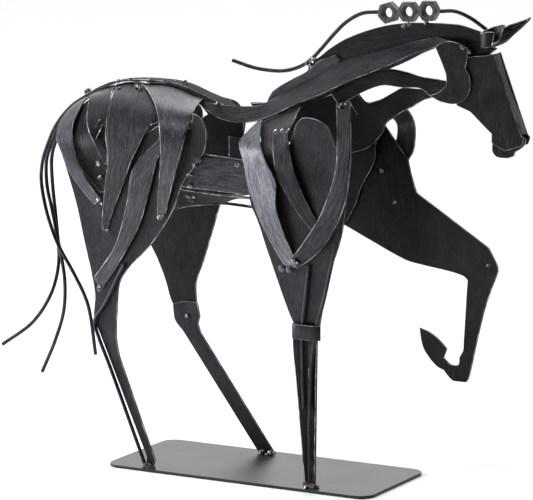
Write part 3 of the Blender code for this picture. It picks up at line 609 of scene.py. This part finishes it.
def haunch(side, face, shift, numbers):
    """The straps over one haunch, from the croup forward. Lifts in whole plies keep one strap
    clear of the next."""
    name = "right_haunch_strap_" if side == RIGHT else "left_haunch_strap_"
    spread = 0 if side == RIGHT else 6
    straps = {
        1: (haunch_top(side, -85.5 + shift, -79.5 + shift, 1.5), [
            (-88.7, 149, -82, 152.5, -16), (-89.8, 144, -81.2, 147.5, -9),
            (-88.5, 140.5, -80.6, 144.2, -4.6), (-86.6, 138, -78.3, 137.3, -0.2),
            (-82.4, 132.1, -74.2, 129, 2.6), (-78.8, 125, -69.7, 121.8, 2.8),
            (-72.5, 117, -66.5, 116.8, 1.8), (-67.2, 111.3, -64.4, 113.8, PLY)]),
        2: (haunch_top(side, -82.2, -76.5, 2.5), [
            (-84, 149, -76.5, 151.8, -15, -14), (-84.5, 144, -71, 146, -9, -7.4),
            (-81.5, 137, -68.5, 138.5, -2.2, -0.9), (-79, 133.2, -65, 134.5, 0),
            (-76.5, 129, -62.5, 130, 0), (-69.6, 121.4, -61, 122, 0),
            (-64.8, 116.5, -60.8, 117.5, 0)]),
        3: (haunch_top(side, -79.5 + shift, -70.5 + shift, 1.15), [
            (-78, 154.5, -67.6, 155, -15 + PLY), (-75.5, 151, -63.4, 151, -9 + PLY, -9.5 + PLY),
            (-70.6, 143.6, -60.8, 143, 0.5, -0.8), (-66.6, 137, -60.4, 135, PLY + 0.2),
            (-62.6, 129.8, -60.6, 128.5, PLY)]),
        4: (haunch_top(side, -70 + shift, -59 - spread / 2 + shift, 1.15), [
            (-66, 156, -46.5, 155.3, -12.4, -13), (-63.2, 149, -41, 149.5, -3.4, -4.5),
            (-60.7, 141, -42.4, 143.3, 2 * PLY, 2 * PLY - 1), (-59.6, 132.5, -45, 137.3, 2 * PLY),
            (-61, 121.5, -48.5, 131, 2 * PLY), (-62.4, 113.8, -51.5, 124, 1.6),
            (-63.3, 107.8, -56, 114.3, 0.9), (-64.5, 102.3, -61.5, 101.5, 0)]),
        5: ([], [
            (-34, 143.8, -26.5, 141.5, 0), (-37.1, 140, -30.3, 138, 0.2),
            (-44.3, 133.4, -35.5, 134.3, 0.8), (-48.6, 127, -39.9, 120, 1.2),
            (-51, 114, -45.3, 104, 1.3), (-57, 95, -54.8, 88, 1),
            (-68.3, 79.8, -64.3, 75.2, 0)]),
        6: (haunch_top(side, -58 + shift, -27.5 + shift, 1.15), [
            (-47.5 - spread / 2, 157.6, -24.5, 154.6, -12),
            (-39 - spread, 152.5, -22.5, 151.3, -3.2),
            (-34.5 - spread, 145, -22.2, 143.4, 2.3), (-33.5, 135, -25.6, 130.5, 3.3),
            (-36, 118, -30.2, 118.4, 1.3), (-37.2, 108.5, -32.9, 109.9, 0)]),
    }
    for number, kept in enumerate(numbers, 1):
        tops, stations = straps[kept]
        side_strap(name + str(number), side, face, tops, stations, shift)


def belly():
    hip = RIGHT_LEG_Y - PLATE / 2 - ON_PLATE
    shoulder = SHOULDER_Y - PLATE / 2 - ON_PLATE
    left = LEFT_LEG_Y - PLATE / 2 - ON_PLATE
    keel = BELLY_WIDTH / 2 + 2 * GAP
    for side, name, rear, front in ((RIGHT, "right", hip, shoulder), (LEFT, "left", left, left)):
        front -= 0 if side == RIGHT else INNER_PLATE_STEP
        strap(name + "_belly_strip", [
            [(-29, side * rear, 137), (-29, side * rear, 121.6)],
            [(3, side * front, 134.7), (3, side * front, 120.3)],
            [(13, side * front, 134), (13, side * front, 120)]])
        strap(name + "_belly_chine", [
            [(-31, side * (rear - 0.6), 120.8), (-36, side * keel, 110.2)],
            [(-20, side * (rear - 0.8), 120), (-24, side * keel, 113)],
            [(-9, side * ((rear + front) / 2 - 0.6), 119.4), (-13.5, side * keel, 114.5)],
            [(0, side * (front - 0.6), 119.2), (-5.5, side * (keel + 2), 117)],
            [(10, side * (front - 0.6), 119), (8, side * (keel + 5), 117.2)]])
    half = BELLY_WIDTH / 2
    strap("belly_strap", [
        [(-38, -half, 109.2), (-38.5, half, 109.2)],
        [(-33, -half, 110.8), (-34.5, half, 110.4)],
        [(-25, -half, 112.3), (-30, half - 8, 111.6)],
        [(-16, -half + 2, 113), (-22, -half + 6, 112.9)],
        [(-8, -half + 5, 112.2), (-9, -half + 7, 112.4)],
        [(4, -half + 6, 111), (4, -half + 8, 111)]])


def right_fore_leg():
    plate("right_shoulder_plate", [
        [(25.5, 146), (27.3, 151.5)],
        [(27.3, 151.5), (30, 154.3), (34, 154.6), (38, 153.8), (42, 151.3), (44, 148), (45, 144.5),
         (46.2, 141), (48.5, 136.5), (50, 130), (50.5, 123), (49, 110), (46.3, 100), (43, 92),
         (40.8, 81.5), (38.4, 68)],
        [(38.4, 68), (26.7, 67.5)],
        [(26.7, 67.5), (23.2, 75), (14.1, 97.5), (9.6, 109.5), (6.1, 117), (5.3, 123),
         (7, 129), (10, 131.5), (14, 132.5), (18.5, 135.5), (22.5, 140), (25.5, 146)],
    ], -SHOULDER_Y)
    fold = SHOULDER_Y - 1.5
    lip = SHOULDER_Y + 1
    strap("right_cannon_plate", [
        [(26.1, -lip, 66.7), (32.2, -fold, 66.7), (37.2, -fold - 1.4, 66.7)],
        [(26.3, -lip, 60), (32.3, -fold, 60), (37.3, -fold - 1.8, 60)],
        [(29, -lip, 32.5), (33.3, -fold, 32.5), (37.2, -lip, 32.5)],
        [(32, -lip, FOOT), (34.7, -fold, FOOT), (36.8, -lip, FOOT)]], PLATE)
    out = SHOULDER_FACE + ROD_ON_PLATE
    rod("right_foreleg_rod_1", [
        (34, -out, 94), (33, -out, 83.5), (31.3, -out, 68.5), (31.1, -out, 54),
        (31.8, -out, 33.5)])
    rod("right_foreleg_rod_2", [
        (49.4, -out, 119), (48.2, -out, 111.2), (46.5, -out, 103), (44.2, -out, 93.4),
        (40.8, -out, 79), (37.8, -out, 68.5), (35.5, -out, 54.5), (34.6, -out, 37.5),
        (34.4, -out, 20.5), (34.7, -out, FOOT + 1)])
    front = out + ROD / 2 + ON_PLATE
    ring = [(26.7, -front + 1.2), (27.7, -front), (38.8, -front), (39.8, -front + 1)]
    low = 62.8
    top = low + CUFF_HEIGHT / SCALE
    sheet("right_knee_cuff", [[point(x, y, z) for x, y in ring] for z in (top, low)], STRAP)

    def on_shoulder(number, tops, stations):
        side_strap("right_shoulder_strap_%d" % number, RIGHT, SHOULDER_FACE, tops, stations)

    y = -(NECK_HALF + PLY)
    on_shoulder(1, [[(3.2, y, 149.4), (5, y, 150.2)]], [
        (-0.5, 142.5, 10, 142.5, -1.8), (0, 140.5, 12, 140.5, 0.7), (2, 137, 14, 138, 2.3),
        (3.5, 134, 16, 135, 3.1), (6, 125, 20.5, 128, 4.1), (9.5, 116, 20.5, 118, 4.1),
        (12.5, 110.5, 23, 109.5, 3.6), (17, 102.5, 26, 101, 1.9), (21.5, 94, 27.5, 96, 0.1),
        (24.5, 90, 28.5, 93, 0)])
    y = -(NECK_HALF - PLY)
    on_shoulder(2, [[(2.5, y, 148.5), (22.5, y, 157)]], [
        (5.5, 145.5, 22.5, 153.5, -10.2), (8.5, 142.5, 23, 150, -5.7), (11.5, 139, 21.5, 144, -1.8),
        (14.5, 134, 21.5, 139, 0.4), (17, 128.5, 21, 131, 0)])
    y = RIGHT_LEG_Y
    on_shoulder(3, [[(15.5, 3.4 - y, 146.3), (23.5, 1.1 - y, 148.3)]], [
        (18, 141.5, 25.5, 142.5, 1.7), (19, 135.5, 27, 136.5, 2.3),
        (20.5, 129.5, 29.5, 130, 2.8), (24, 124, 31.5, 125, 2.4), (27.5, 118, 34, 119.5, 1.6),
        (31, 113, 35.5, 116, 0.8), (35, 108.5, 38, 112.5, 0)])
    y = -(NECK_HALF + GAP)
    on_shoulder(4, [[(39.5, y, 159.3), (46, y, 160.8)]], [
        (42, 154, 48.5, 155.5, -8.7), (44.5, 149, 51, 150, -4.2), (46.5, 144, 53, 144.5, -0.4),
        (47.5, 138.5, 54, 138.5, 1.8), (46.5, 129.5, 54, 131, 3.3), (43.5, 121, 53, 123, 3.8),
        (40, 113.5, 49.5, 114, 3.8), (34, 105, 44.5, 105.5, 3.3), (30, 100, 38, 98.5, 2.3),
        (27, 97, 29.2, 92, 1.7)])


def left_fore_leg():
    plate("left_foreleg_plate", [
        [(45, 146.5), (55.7, 133.2)],
        [(55.7, 133.2), (57.3, 126.7), (59.8, 119.3)],
        [(59.8, 119.3), (93.2, 98.8)],
        [(93.2, 98.8), (95.3, 95.2), (97.6, 90.6), (97.3, 88)],
        [(97.3, 88), (92.6, 75.5), (88.6, 60), (84.5, 42.5), (83.5, 41)],
        [(83.5, 41), (77.5, 41)],
        [(77.5, 41), (76, 42), (73, 45.3)],
        [(73, 45.3), (70.3, 46.2), (65, 51.4), (62.9, 55.3), (61.6, 62.3)],
        [(61.6, 62.3), (67, 60.4), (72, 56.9), (74.5, 54.3)],
        [(74.5, 54.3), (73, 50.5)],
        [(73, 50.5), (76.3, 48), (79.8, 48.1), (80.2, 51.5)],
        [(80.2, 51.5), (81.8, 54), (82.2, 58.5), (83.2, 76), (83.7, 84.2)],
        [(83.7, 84.4), (82.3, 85.7), (77.5, 87), (61.5, 89.2), (55.5, 90.3), (26, 102.9)],
        [(26, 102.9), (25, 112), (30, 130), (37, 140), (45, 146.5)],
    ], LEFT_LEG_Y)
    plate("left_shoulder_plate", [
        [(46, 147), (42.7, 143.5), (41.3, 138), (41, 132), (39.5, 128.5), (34.5, 119.5), (32, 112.5),
         (28.5, 106), (27, 103)],
        [(27, 103), (16, 106), (9, 115), (9, 126), (15, 133.5), (25, 138), (36, 142), (46, 147)],
    ], LEFT_LEG_Y - INNER_PLATE_STEP)
    inner = LEFT_LEG_Y - INNER_PLATE_STEP - PLATE / 2 - ON_PLATE
    throat = CHEEK_Y - 2 * PLY
    strap("left_throat_strap", [
        [(79.5, -throat, 167.5), (79.5, -throat, 165.5), (79.5, -throat, 163.5)],
        [(74.5, -0.8, 166.5), (74.5, -0.8, 164.3), (74.5, -0.8, 162)],
        [(68, 2, 166), (68, 2, 162), (68, 2, 158.5)],
        [(61.5, 5.5, 165.5), (61.5, 5.5, 160.5), (61.5, 5.5, 155.5)],
        [(55, 9.5, 162.5), (55.2, 9.5, 157), (55.5, 9.5, 152)],
        [(46.5, 13.5, 158.5), (47.5, 14.8, 153.5), (48.5, 15.5, 148)],
        [(40.5, 13.8, 157), (43, 17.5, 151), (45.5, inner - 1, 144)],
        [(36, 12.2, 161.5), (37, 19, 150), (38, inner, 137)],
        [(27, 12.4, 160), (27.5, 19.2, 149), (28, inner, 134)],
        [(16, 12.4, 156.5), (16, 19, 147), (16, inner, 134)],
        [(7, 12.2, 153), (7, 18, 146), (7, inner, 136)],
        [(-2, 12.8, 149), (-2, 17.8, 144), (-2, inner, 137)],
        [(-9, 13.2, 146.5), (-9, 17.5, 142.5), (-9, inner, 137.5)]])
    outer = LEFT_FACE + ON_PLATE
    strap("left_chest_strap", [
        [(49.5, 15.3, 153), (59, 9, 157)],
        [(50.5, 18.3, 150.5), (58.5, 17.5, 154)],
        [(50.5, outer - 1.5, 147.5), (58.7, outer - 1.5, 149)],
        [(50, outer, 144), (58.5, outer, 143)],
        [(49, outer, 139), (57.5, outer, 136)],
        [(46.5, outer, 135), (53.5, outer, 130)]])
    tops = [[(28.5, 15, 158), (35, 15, 159.3)]]
    side_strap("left_shoulder_strap_1", LEFT, LEFT_FACE, tops, [
        (30, 150.5, 37, 151.5, -2.2), (32, 145, 39, 146, 0.7), (34, 137, 41, 137, 2),
        (35, 122, 43, 122, 2.6), (31, 109, 38, 107, PLY)])
    tops = [[(6, 18.4, 147.6), (15, 18, 151)]]
    side_strap("left_shoulder_strap_2", LEFT, LEFT_FACE, tops, [
        (3.5, 143.5, 16, 147, -1.6), (2.5, 139, 17, 142, 0.9), (5, 131, 19, 134, 2.2),
        (13, 119, 26, 122, 2.2), (28.5, 108, 36, 112, 0)])


def neck():
    plate("crest_plate", [
        [(20.8, 173.3), (26.5, 177.2), (30, 180), (35, 183.2), (40, 185.8), (49, 189.3),
         (55.5, 191.2), (63.5, 192.7), (69.5, 193.3), (76.5, 193.6), (83.5, 193.8), (90.5, 193.6)],
        [(90.5, 193.6), (95, 192.5), (100, 191), (102, 189)],
        [(102, 189), (104, 186), (107, 185)],
        [(107, 185), (104, 182.7)],
        [(104, 182.7), (99, 180.5), (94.5, 180)],
        [(94.5, 180), (91, 185), (85.5, 186)],
        [(85.5, 186), (72, 183), (61, 179.5), (47, 174.5), (35, 170), (24, 165.5), (19.3, 165.5)],
        [(19.3, 165.5), (20.8, 173.3)],
    ], 0, STRAP)
    y = CREST_SIDE
    rise = 2 * CREST_SIDE
    for side, name, first in ((RIGHT, "right", 0), (LEFT, "left", 3)):
        stations = [
            ((-28.5, 5.2, 155), (-28, 5.7, 154)), ((-22, 5.5, 154.7), (-20, 9, 150.5)),
            ((-17, 6, 154.3), (-15, 10, 149)), ((-10.4, 6.2, 154.4), (-8, 10.5, 148.3)),
            ((0.5, 6.2, 155.3), (1.5, NECK_HALF, 149.5)), ((5, 4.8, 157.4), (10, NECK_HALF, 152.5)),
            ((10.7, rise + 0.4, 161), (21, NECK_HALF, 158)), ((22.7, rise, 167.4), (32, 10.5, 162.5)),
            ((34.5, rise, 174.3), (45, 10, 168.8)), ((47.5, y + 0.5, 179), (61, 8, 175.7)),
            ((61, y, 183), (71.5, 5.6, 180.9)), ((72.5, y, 186.3), (81.2, CHEEK_Y - 1.5 * PLY, 184.5)),
            ((80, y, 188), (88, CHEEK_Y - PLY, 187))]
        strap(name + "_neck_band", [
            [(xt, side * yt, zt), (xb, side * yb, zb)]
            for (xt, yt, zt), (xb, yb, zb) in stations[first:]])
    strap("withers_strap", [
        [(xt, -y, zt), (xb, -y, zb)] for xt, zt, xb, zb in (
            (1.5, 156, 3, 155), (4, 160.7, 7, 157), (9.5, 164.5, 12, 161), (15, 167.5, 18, 164),
            (19.7, 170, 25, 168), (26.5, 175.3, 31, 172), (34, 178, 36, 176.3))])
    strap("right_throat_strap", [
        [(xt, -yt, zt), (xb, -yt, zb)] for xt, zt, xb, zb, yt in (
            (35.5, 163.5, 40, 158, 9), (42.5, 168, 45.5, 162, 8.1), (51, 172, 51, 165, 6.9),
            (60.5, 174.4, 58, 167.5, 5.7), (67, 173.8, 67, 167, 4.8), (74.5, 172, 74.5, 167, 4),
            (80.5, 171.3, 78.5, 164, CHEEK_Y - PLY - 0.1),
            (86.5, 170.6, 84, 162.8, CHEEK_Y - PLY - 0.1))])


def head():
    for side, name in ((RIGHT, "right"), (LEFT, "left")):
        plate(name + "_cheek_plate", [
            [(81, 184.5), (83, 186), (86, 187), (89.5, 187), (93, 186), (95.5, 185)],
            [(95.5, 185), (95.5, 180), (94.5, 177)],
            [(94.5, 177), (96.5, 173.5)],
            [(96.5, 173.5), (97, 169.5), (96, 166), (94, 163.5), (89.5, 161.7), (83, 162.5),
             (78.5, 164.5)],
            [(78.5, 164.5), (82.5, 166), (86, 169)],
            [(86, 169), (86, 173), (81, 184.5)],
        ], side * CHEEK_Y, STRAP)
        plate(name + "_face_plate", [
            [(93, 180.5), (97.5, 181.5), (104, 182.3), (106.7, 183.2)],
            [(106.7, 183.2), (119.2, 150.5)],
            [(119.2, 150.5), (120.3, 149.6), (119.3, 146.5)],
            [(119.3, 146.5), (112, 144)],
            [(112, 144), (107.5, 146), (106, 147)],
            [(106, 147), (106, 150.5)],
            [(106, 150.5), (100.5, 155.3), (96.4, 158.9)],
            [(96.4, 158.9), (90.2, 161.1)],
            [(90.2, 161.1), (93, 180.5)],
        ], side * HEAD_WIDTH / 2, STRAP)
    half = HEAD_WIDTH / 2 - STRAP / 2 - GAP
    ribbon("nose_strip", half, ((106.2, 182.9), (111.4, 168.6), (116.2, 157.1), (118.6, 150.8)))
    plate("muzzle_plate", [
        [(110, 153), (105.2, 147)],
        [(105.2, 147), (104.9, 143.4), (106.7, 141), (112.3, 140.7), (114.4, 141.5), (115.4, 143.4)],
        [(115.4, 143.4), (117.8, 145), (119.7, 147), (120, 148.8), (119.3, 149.5)],
        [(119.3, 149.5), (118.1, 150.2), (116.5, 154.2)],
        [(116.5, 154.2), (110, 153)],
    ], 0)
    ribbon("jaw_strip", half, ((86, 163.3), (90, 161.8), (96.6, 159.7), (100.5, 156.3)))


def ears():
    strap("right_ear", (
        ((107.5, -7.5, 186.5), (109, -7.5, 192.5)), ((105.5, -8, 186), (106, -8, 192.5)),
        ((102.4, -6.2, 186), (102.2, -6.2, 191.5)), ((101.5, -3.2, 186.5), (101.8, -3.2, 192)),
        ((103, -1.05, 186.8), (104.6, -1.4, 193.5)), ((107.5, -2, 187.5), (109.5, -2.2, 195)),
        ((109.5, -3.2, 190), (111.5, -3.4, 195))), STRAP * 0.75)
    strap("left_ear", (
        ((103.3, 1.05, 184.8), (103.5, 3.8, 187), (105, 3.4, 191)),
        ((109.5, 1.6, 187.5), (108.5, 5.2, 190.5), (109.5, 4.4, 194)),
        ((112.5, 2.5, 190.5), (111.5, 6, 193), (112.5, 5, 195)),
        ((116, 4, 194), (115.2, 6.5, 195), (115.5, 6, 196.3)),
        ((118.3, 5.6, 196.8), (118.3, 6.3, 197.2), (118.4, 6.1, 197.8))), STRAP * 0.75)


def mane():
    """Three nuts in a row on the crest, between a long and a short rod."""
    crest = point(66.9, 0, 193.35)
    middle = Vector((crest.x, 0, crest.z + GAP + NUT_FLATS / 2))
    slope = Vector((math.cos(NUT_SLOPE), 0, math.sin(NUT_SLOPE)))
    first = middle - slope * NUT_CORNERS
    third = middle + slope * (NUT_CORNERS - GAP / 2)
    nut("mane_nut_1", first.x, first.z, -FIRST_NUT_TURN)
    nut("mane_nut_2", middle.x, middle.z, math.radians(30))
    nut("mane_nut_3", third.x, third.z, math.radians(30))

    def drawn(p):
        return (p.x / SCALE, 0, (p.z - BASE_THICKNESS) / SCALE)

    start = drawn(first - Vector((NUT_FLATS / 2 + 2 * GAP, 0, 0)))
    end = drawn(third + Vector((NUT_CORNERS / 2 + GAP, 0, 0)))
    rod("mane_rod_rear", [
        (-15.5, 0, 172.7), (-4, 0, 170.1), (8, 0, 169.7), (14.5, 0, 171.2), (20.2, 0, 174.1),
        (26.2, 0, 179.7), (31.6, 0, 185.6), (37.9, 0, 191.6), (45.5, 0, 195.8), start])
    rod("mane_rod_front", [end, (87.5, 0, 198.9), (94.5, 0, 196.6), (102, 0, 192.1)])


def tail():
    """Three rods from the croup that cross half way down and splay at their tips."""
    side = ROD + GAP
    root = [(-84.9 - GAP, 153.7), (-89.3, 151.3)]
    lines = {
        "tail_rod_1": (-side, [
            (-94.5, 0, 147.5), (-101.5, 0, 139.4), (-106, -0.1, 130), (-108, -0.4, 123.9),
            (-108.7, -0.7, 115.7), (-106.4, -0.9, 103.2), (-102, -0.6, 90.6), (-98.8, -0.3, 84.5),
            (-93.5, 0.9, 75.2), (-87.9, 2.9, 61.9), (-84.7, 3.9, 39.8)]),
        "tail_rod_2": (0, [
            (-94.5, 0, 147.3), (-101, 0, 138.6), (-105.6, 0, 129.6), (-107.5, 0, 123.7),
            (-107.4, 0, 112.6), (-104.8, 0, 101.6), (-101.9, 0, 88.4), (-100, 0, 79.6),
            (-98.8, 0, 70.8), (-99.5, 0, 58.3), (-103.9, 0, 44.9), (-110.9, 0, 29.9)]),
        "tail_rod_3": (side, [
            (-94.5, 0, 147.1), (-100.5, 0, 138.3), (-105, 0.1, 129.3), (-106.2, 0.1, 123.5),
            (-106, 0.5, 112.2), (-104.6, 0.6, 98.9), (-103.4, 0.3, 88), (-102.9, 0, 80.6),
            (-103.6, -1.4, 71.8), (-106.3, -3.4, 62.9), (-113.5, -5.4, 52.2), (-127.4, -7.9, 41.6)]),
    }
    for name, (y, route) in lines.items():
        rod(name, [(x, y, z) for x, z in root] + [(x, y + dy, z) for x, dy, z in route])


# Weld lumps, as (x, y, z, radius)
WELDS = [
    (-35.6, -26.2, 108.4, 1.0), (-34.2, -26.4, 109.2, 0.7), (-65.0, -26.6, 113.6, 1.0),
    (-64.2, -26.2, 112.2, 0.7), (-64.8, -27, 129.1, 1.0), (-64.2, -26.9, 123.0, 0.8),
    (-62.6, -26.4, 101.8, 0.9), (-61.6, -25.8, 100.6, 0.7), (-65.2, -26.4, 75.4, 1.0),
    (-57.7, -6.6, 159.6, 0.9), (-55.6, -7.8, 158.9, 0.8), (-66.5, -8.0, 158.0, 1.0),
    (-68.4, -4.4, 161.0, 0.8), (-62.9, -3.8, 162.2, 0.6), (-53.8, -3.2, 162.7, 0.6),
    (-46.9, -2.6, 162.5, 0.7), (-43.1, 0.2, 162.4, 0.6), (-38.0, -0.5, 161.8, 0.9),
    (-84.6, -1.8, 155.0, 1.6), (-86.2, 1.5, 153.6, 1.3), (-18.9, -6.8, 154.9, 0.9),
    (-17.6, -6.6, 154.0, 0.6), (-17.8, -25.0, 133.8, 1.3), (-19.4, -25.0, 131.6, 1.1),
    (-22.9, -24.0, 126.8, 1.1), (-22.2, -24.0, 122.2, 0.9), (-26.4, -18.6, 117.2, 1.1),
    (-24.2, -18.0, 117.0, 0.9), (-25.6, -17.2, 115.0, 1.0), (-0.6, -23.0, 132.6, 0.9),
    (28.4, -27.2, 95.8, 0.9), (30.2, -27.3, 95.0, 0.7), (42.6, -13.4, 158.8, 0.9),
    (44.2, -12.8, 159.3, 0.7), (43.7, 21.6, 127.4, 0.8), (49.9, 21.6, 114.7, 0.8),
    (36.3, 21.6, 120.3, 0.7), (93.6, 21.5, 91.5, 0.8), (-49.7, 20.2, 57.0, 0.9),
    (33.6, -25.4, 1.4, 1.5), (36.2, -24.6, 0.9, 1.3), (37.6, -23.6, 0.6, 0.9),
    (-43.4, -26.4, 1.3, 1.3), (-41.4, -25.6, 0.9, 1.2), (-40.2, -25.0, 0.6, 0.8),
    (-12.4, 20.0, 0.7, 1.2), (-8.2, 20.0, 0.7, 1.2), (21.2, -0.4, 173.6, 1.5),
    (23.4, -0.4, 175.2, 1.2), (64.9, -0.4, 191.6, 1.0), (67.2, -0.6, 192.4, 0.8),
    (74.8, -0.4, 193.9, 0.9), (93.6, -4.8, 185.2, 1.0), (96.4, -4.9, 183.6, 0.7),
]


def bead(name, x, y, z, size):
    """A spatter of weld metal: a small lumpy ball pressed against the steel."""
    work = bmesh.new()
    bmesh.ops.create_icosphere(work, subdivisions=3, radius=size)
    centre = point(x, y, z)
    for vert in work.verts:
        lump = noise.noise(vert.co * (1.6 / size) + centre)
        grit = noise.noise(vert.co * (4 / size) + centre) * 0.4
        vert.co = vert.co * (1 + 0.8 * (lump + grit)) + centre
    keep(name, work, weld, "")


def welds():
    """Spatter where straps end on the leg plates, along the spine and round the feet."""
    for number, spot in enumerate(WELDS, 1):
        bead("weld_%d" % number, *spot)


def rivet(name, x, y, z, size):
    """A small domed head, a little flattened, standing off the near side."""
    work = bmesh.new()
    bmesh.ops.create_uvsphere(work, u_segments=20, v_segments=12, radius=size)
    centre = point(x, y, z)
    for vert in work.verts:
        vert.co = Vector((vert.co.x, vert.co.y * 0.6, vert.co.z)) + waver(vert.co * 9, 0.08) + centre
    keep(name, work, nut_black, "")


def highlight_burr(name, route, radius=0.3):
    """A raised burr of bare metal lying along a cut, its bright metal also a painted highlight on the lit
    cut edge.
    """
    stops = [point(*p) for p in route]
    tube(name, curve_through(stops, parts(stops, 1.0)), radius, weld, "", 8)


def base_finish():
    """The base plate's own solid, with a fine bevel and a smooth satin coat."""
    made, tree, shader = new_paint("base_paint")
    speck = noise_at(tree, 2600, 3, 0.6)
    cloud = noise_at(tree, 38, 3, 0.55)
    fill(tree, shader, {"Specular IOR Level": 0.26}, {
        "Base Color": ramp(tree, cloud, [(0.3, 0.020), (0.7, 0.028)]),
        "Roughness": ramp(tree, cloud, [(0.3, 0.30), (0.7, 0.36)]),
        "Normal": bump(tree, speck, 0.1, 0.03)})
    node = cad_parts["base_plate"]
    node.data.materials.clear()
    node.data.materials.append(made)
    joined = node.modifiers.new("weld", "WELD")
    joined.merge_threshold = 0.00001
    edge = node.modifiers.new("edge", "BEVEL")
    edge.width = 0.2 * MM
    edge.segments = 3
    edge.limit_method = "ANGLE"
    edge.angle_limit = math.radians(50)


# Light and camera. Azimuths turn from the near side towards the head.
CAMERA_AZIMUTH = math.radians(28.70)
CAMERA_ELEVATION = math.radians(10.11)
CAMERA_DISTANCE = 1600.0
CAMERA_TARGET = (0.6, 0.3, 93.43)      # the figure's point in the middle of the picture
LENS = 257.4
SKY_FRONT = 0.06
SKY_BACK = 1.38
FLOOR_REACH = 6.0                      # half the floor's width, in metres
FLOOR_LAMP = (-0.14, -0.36, 0.55)      # shines straight down on the floor before the horse
FLOOR_POWER = 1.7
LAMP_TINT = (0.93, 0.95, 1.0)
LAMP_TARGET = Vector((0, 0, 0.1))
# Lamps, as name, azimuth, elevation, distance, size, watts
LAMPS = [
    ("key", -112, 62, 1.0, (0.9, 0.12), 2.6),
    ("back", 208, 48, 2.8, (2.8, 2.8), 50),
    ("front", -45, 50, 1.2, (0.6, 0.12), 5),
    ("side", -70, 7, 1.1, (0.35, 0.7), 18),
]


def towards(azimuth, elevation):
    """The direction from the figure to a viewer or a lamp."""
    level_part = math.cos(elevation)
    return Vector((
        math.sin(azimuth) * level_part, -math.cos(azimuth) * level_part, math.sin(elevation)))


def sky_light():
    """A dim room in front of the figure and a bright backdrop behind it."""
    world = bpy.data.worlds.new("studio")
    world.use_nodes = True
    bpy.context.scene.world = world
    tree = world.node_tree
    toward = tree.nodes.new("ShaderNodeTexCoord").outputs["Generated"]
    along = tree.nodes.new("ShaderNodeVectorMath")
    along.operation = "DOT_PRODUCT"
    fill(tree, along, {1: (-math.sin(CAMERA_AZIMUTH), math.cos(CAMERA_AZIMUTH), 0)}, {0: toward})
    tone = ramp(tree, along.outputs["Value"], [
        (0.0, tinted(SKY_FRONT)), (0.25, tinted(SKY_FRONT * 1.5)), (0.7, SKY_BACK)])
    fill(tree, tree.nodes["Background"], {"Strength": 1.0}, {"Color": tone})


def pale_floor():
    """A wide floor, near white."""
    mesh = bpy.data.meshes.new("floor")
    corners = [(x * FLOOR_REACH, y * FLOOR_REACH, 0) for x, y in ((-1, -1), (1, -1), (1, 1), (-1, 1))]
    mesh.from_pydata(corners, [], [(0, 1, 2, 3)])
    made, tree, shader = new_paint("floor_white")
    fill(tree, shader, {"Roughness": 0.8, "Specular IOR Level": 0.1}, {
        "Base Color": ramp(tree, noise_at(tree, 3, 2, 0.5), [(0.3, 0.95), (0.7, 0.97)])})
    mesh.materials.append(made)
    floor = add_object("floor", mesh)


def lamp(name, size, power, spot):
    """A soft rectangular lamp, shining straight down until it is turned."""
    made = bpy.data.lights.new(name, "AREA")
    made.shape = "RECTANGLE"
    made.size, made.size_y = size
    made.energy = power
    holder = add_object(name, made)
    holder.location = spot
    return holder


def lamps():
    for name, azimuth, elevation, distance, size, power in LAMPS:
        way = towards(math.radians(azimuth), math.radians(elevation))
        holder = lamp(name, size, power, LAMP_TARGET + way * distance)
        holder.data.color = LAMP_TINT
        holder.rotation_euler = way.to_track_quat("Z", "Y").to_euler()
    lamp("floor_lamp", (0.3, 0.3), FLOOR_POWER, FLOOR_LAMP).data.spread = math.radians(60)


def camera():
    lens = bpy.data.cameras.new("camera")
    lens.lens = LENS
    lens.sensor_width = 36
    lens.clip_end = 20
    holder = add_object("camera", lens)
    way = towards(CAMERA_AZIMUTH, CAMERA_ELEVATION)
    holder.location = (point(*CAMERA_TARGET) + way * CAMERA_DISTANCE) * MM
    holder.rotation_euler = way.to_track_quat("Z", "Y").to_euler()
    bpy.context.scene.camera = holder


base_finish()
hind_legs()
haunch(RIGHT, RIGHT_FACE, 0, (1, 2, 3, 4, 5, 6))
haunch(LEFT, LEFT_FACE, -1.5, (1, 3, 4, 6))
ribbon("spine_strip", SPINE_WIDTH / 2, SPINE)
belly()
right_fore_leg()
left_fore_leg()
neck()
head()
ears()
mane()
tail()
welds()
rivet("shoulder_bolt_1", 21.6, -24.6, 91.4, 1.7)
rivet("shoulder_bolt_2", 25.3, -25.6, 91.3, 1.4)
# Bright burrs along cuts and a sheet edge: painted highlights where lit edges catch the light.
highlight_burr("haunch_highlight_burr_1", [(-68.2, -26.4, 141.7), (-66.8, -25.3, 144.6), (-65.8, -24.0, 147.2)])
highlight_burr("haunch_highlight_burr_2", [(-65.8, -27.4, 139.5), (-64.4, -26.4, 142.7), (-63.6, -25.4, 145.3)])
highlight_burr("shoulder_highlight_burr", [(15.5, -20.6, 147.2), (17, -20.9, 148.6), (18.6, -21.2, 147.4),
                         (20.3, -21.5, 149.2), (22, -21.8, 147.8), (23.5, -22.1, 149.4)], 0.22)
highlight_burr("chest_highlight_burr", [(46.6, -12.4, 160.3), (48.4, -12.8, 158.0), (50.2, -13.2, 155.6)], 0.18)
pale_floor()
sky_light()
lamps()
camera()
bpy.context.scene.view_settings.view_transform = "Standard"
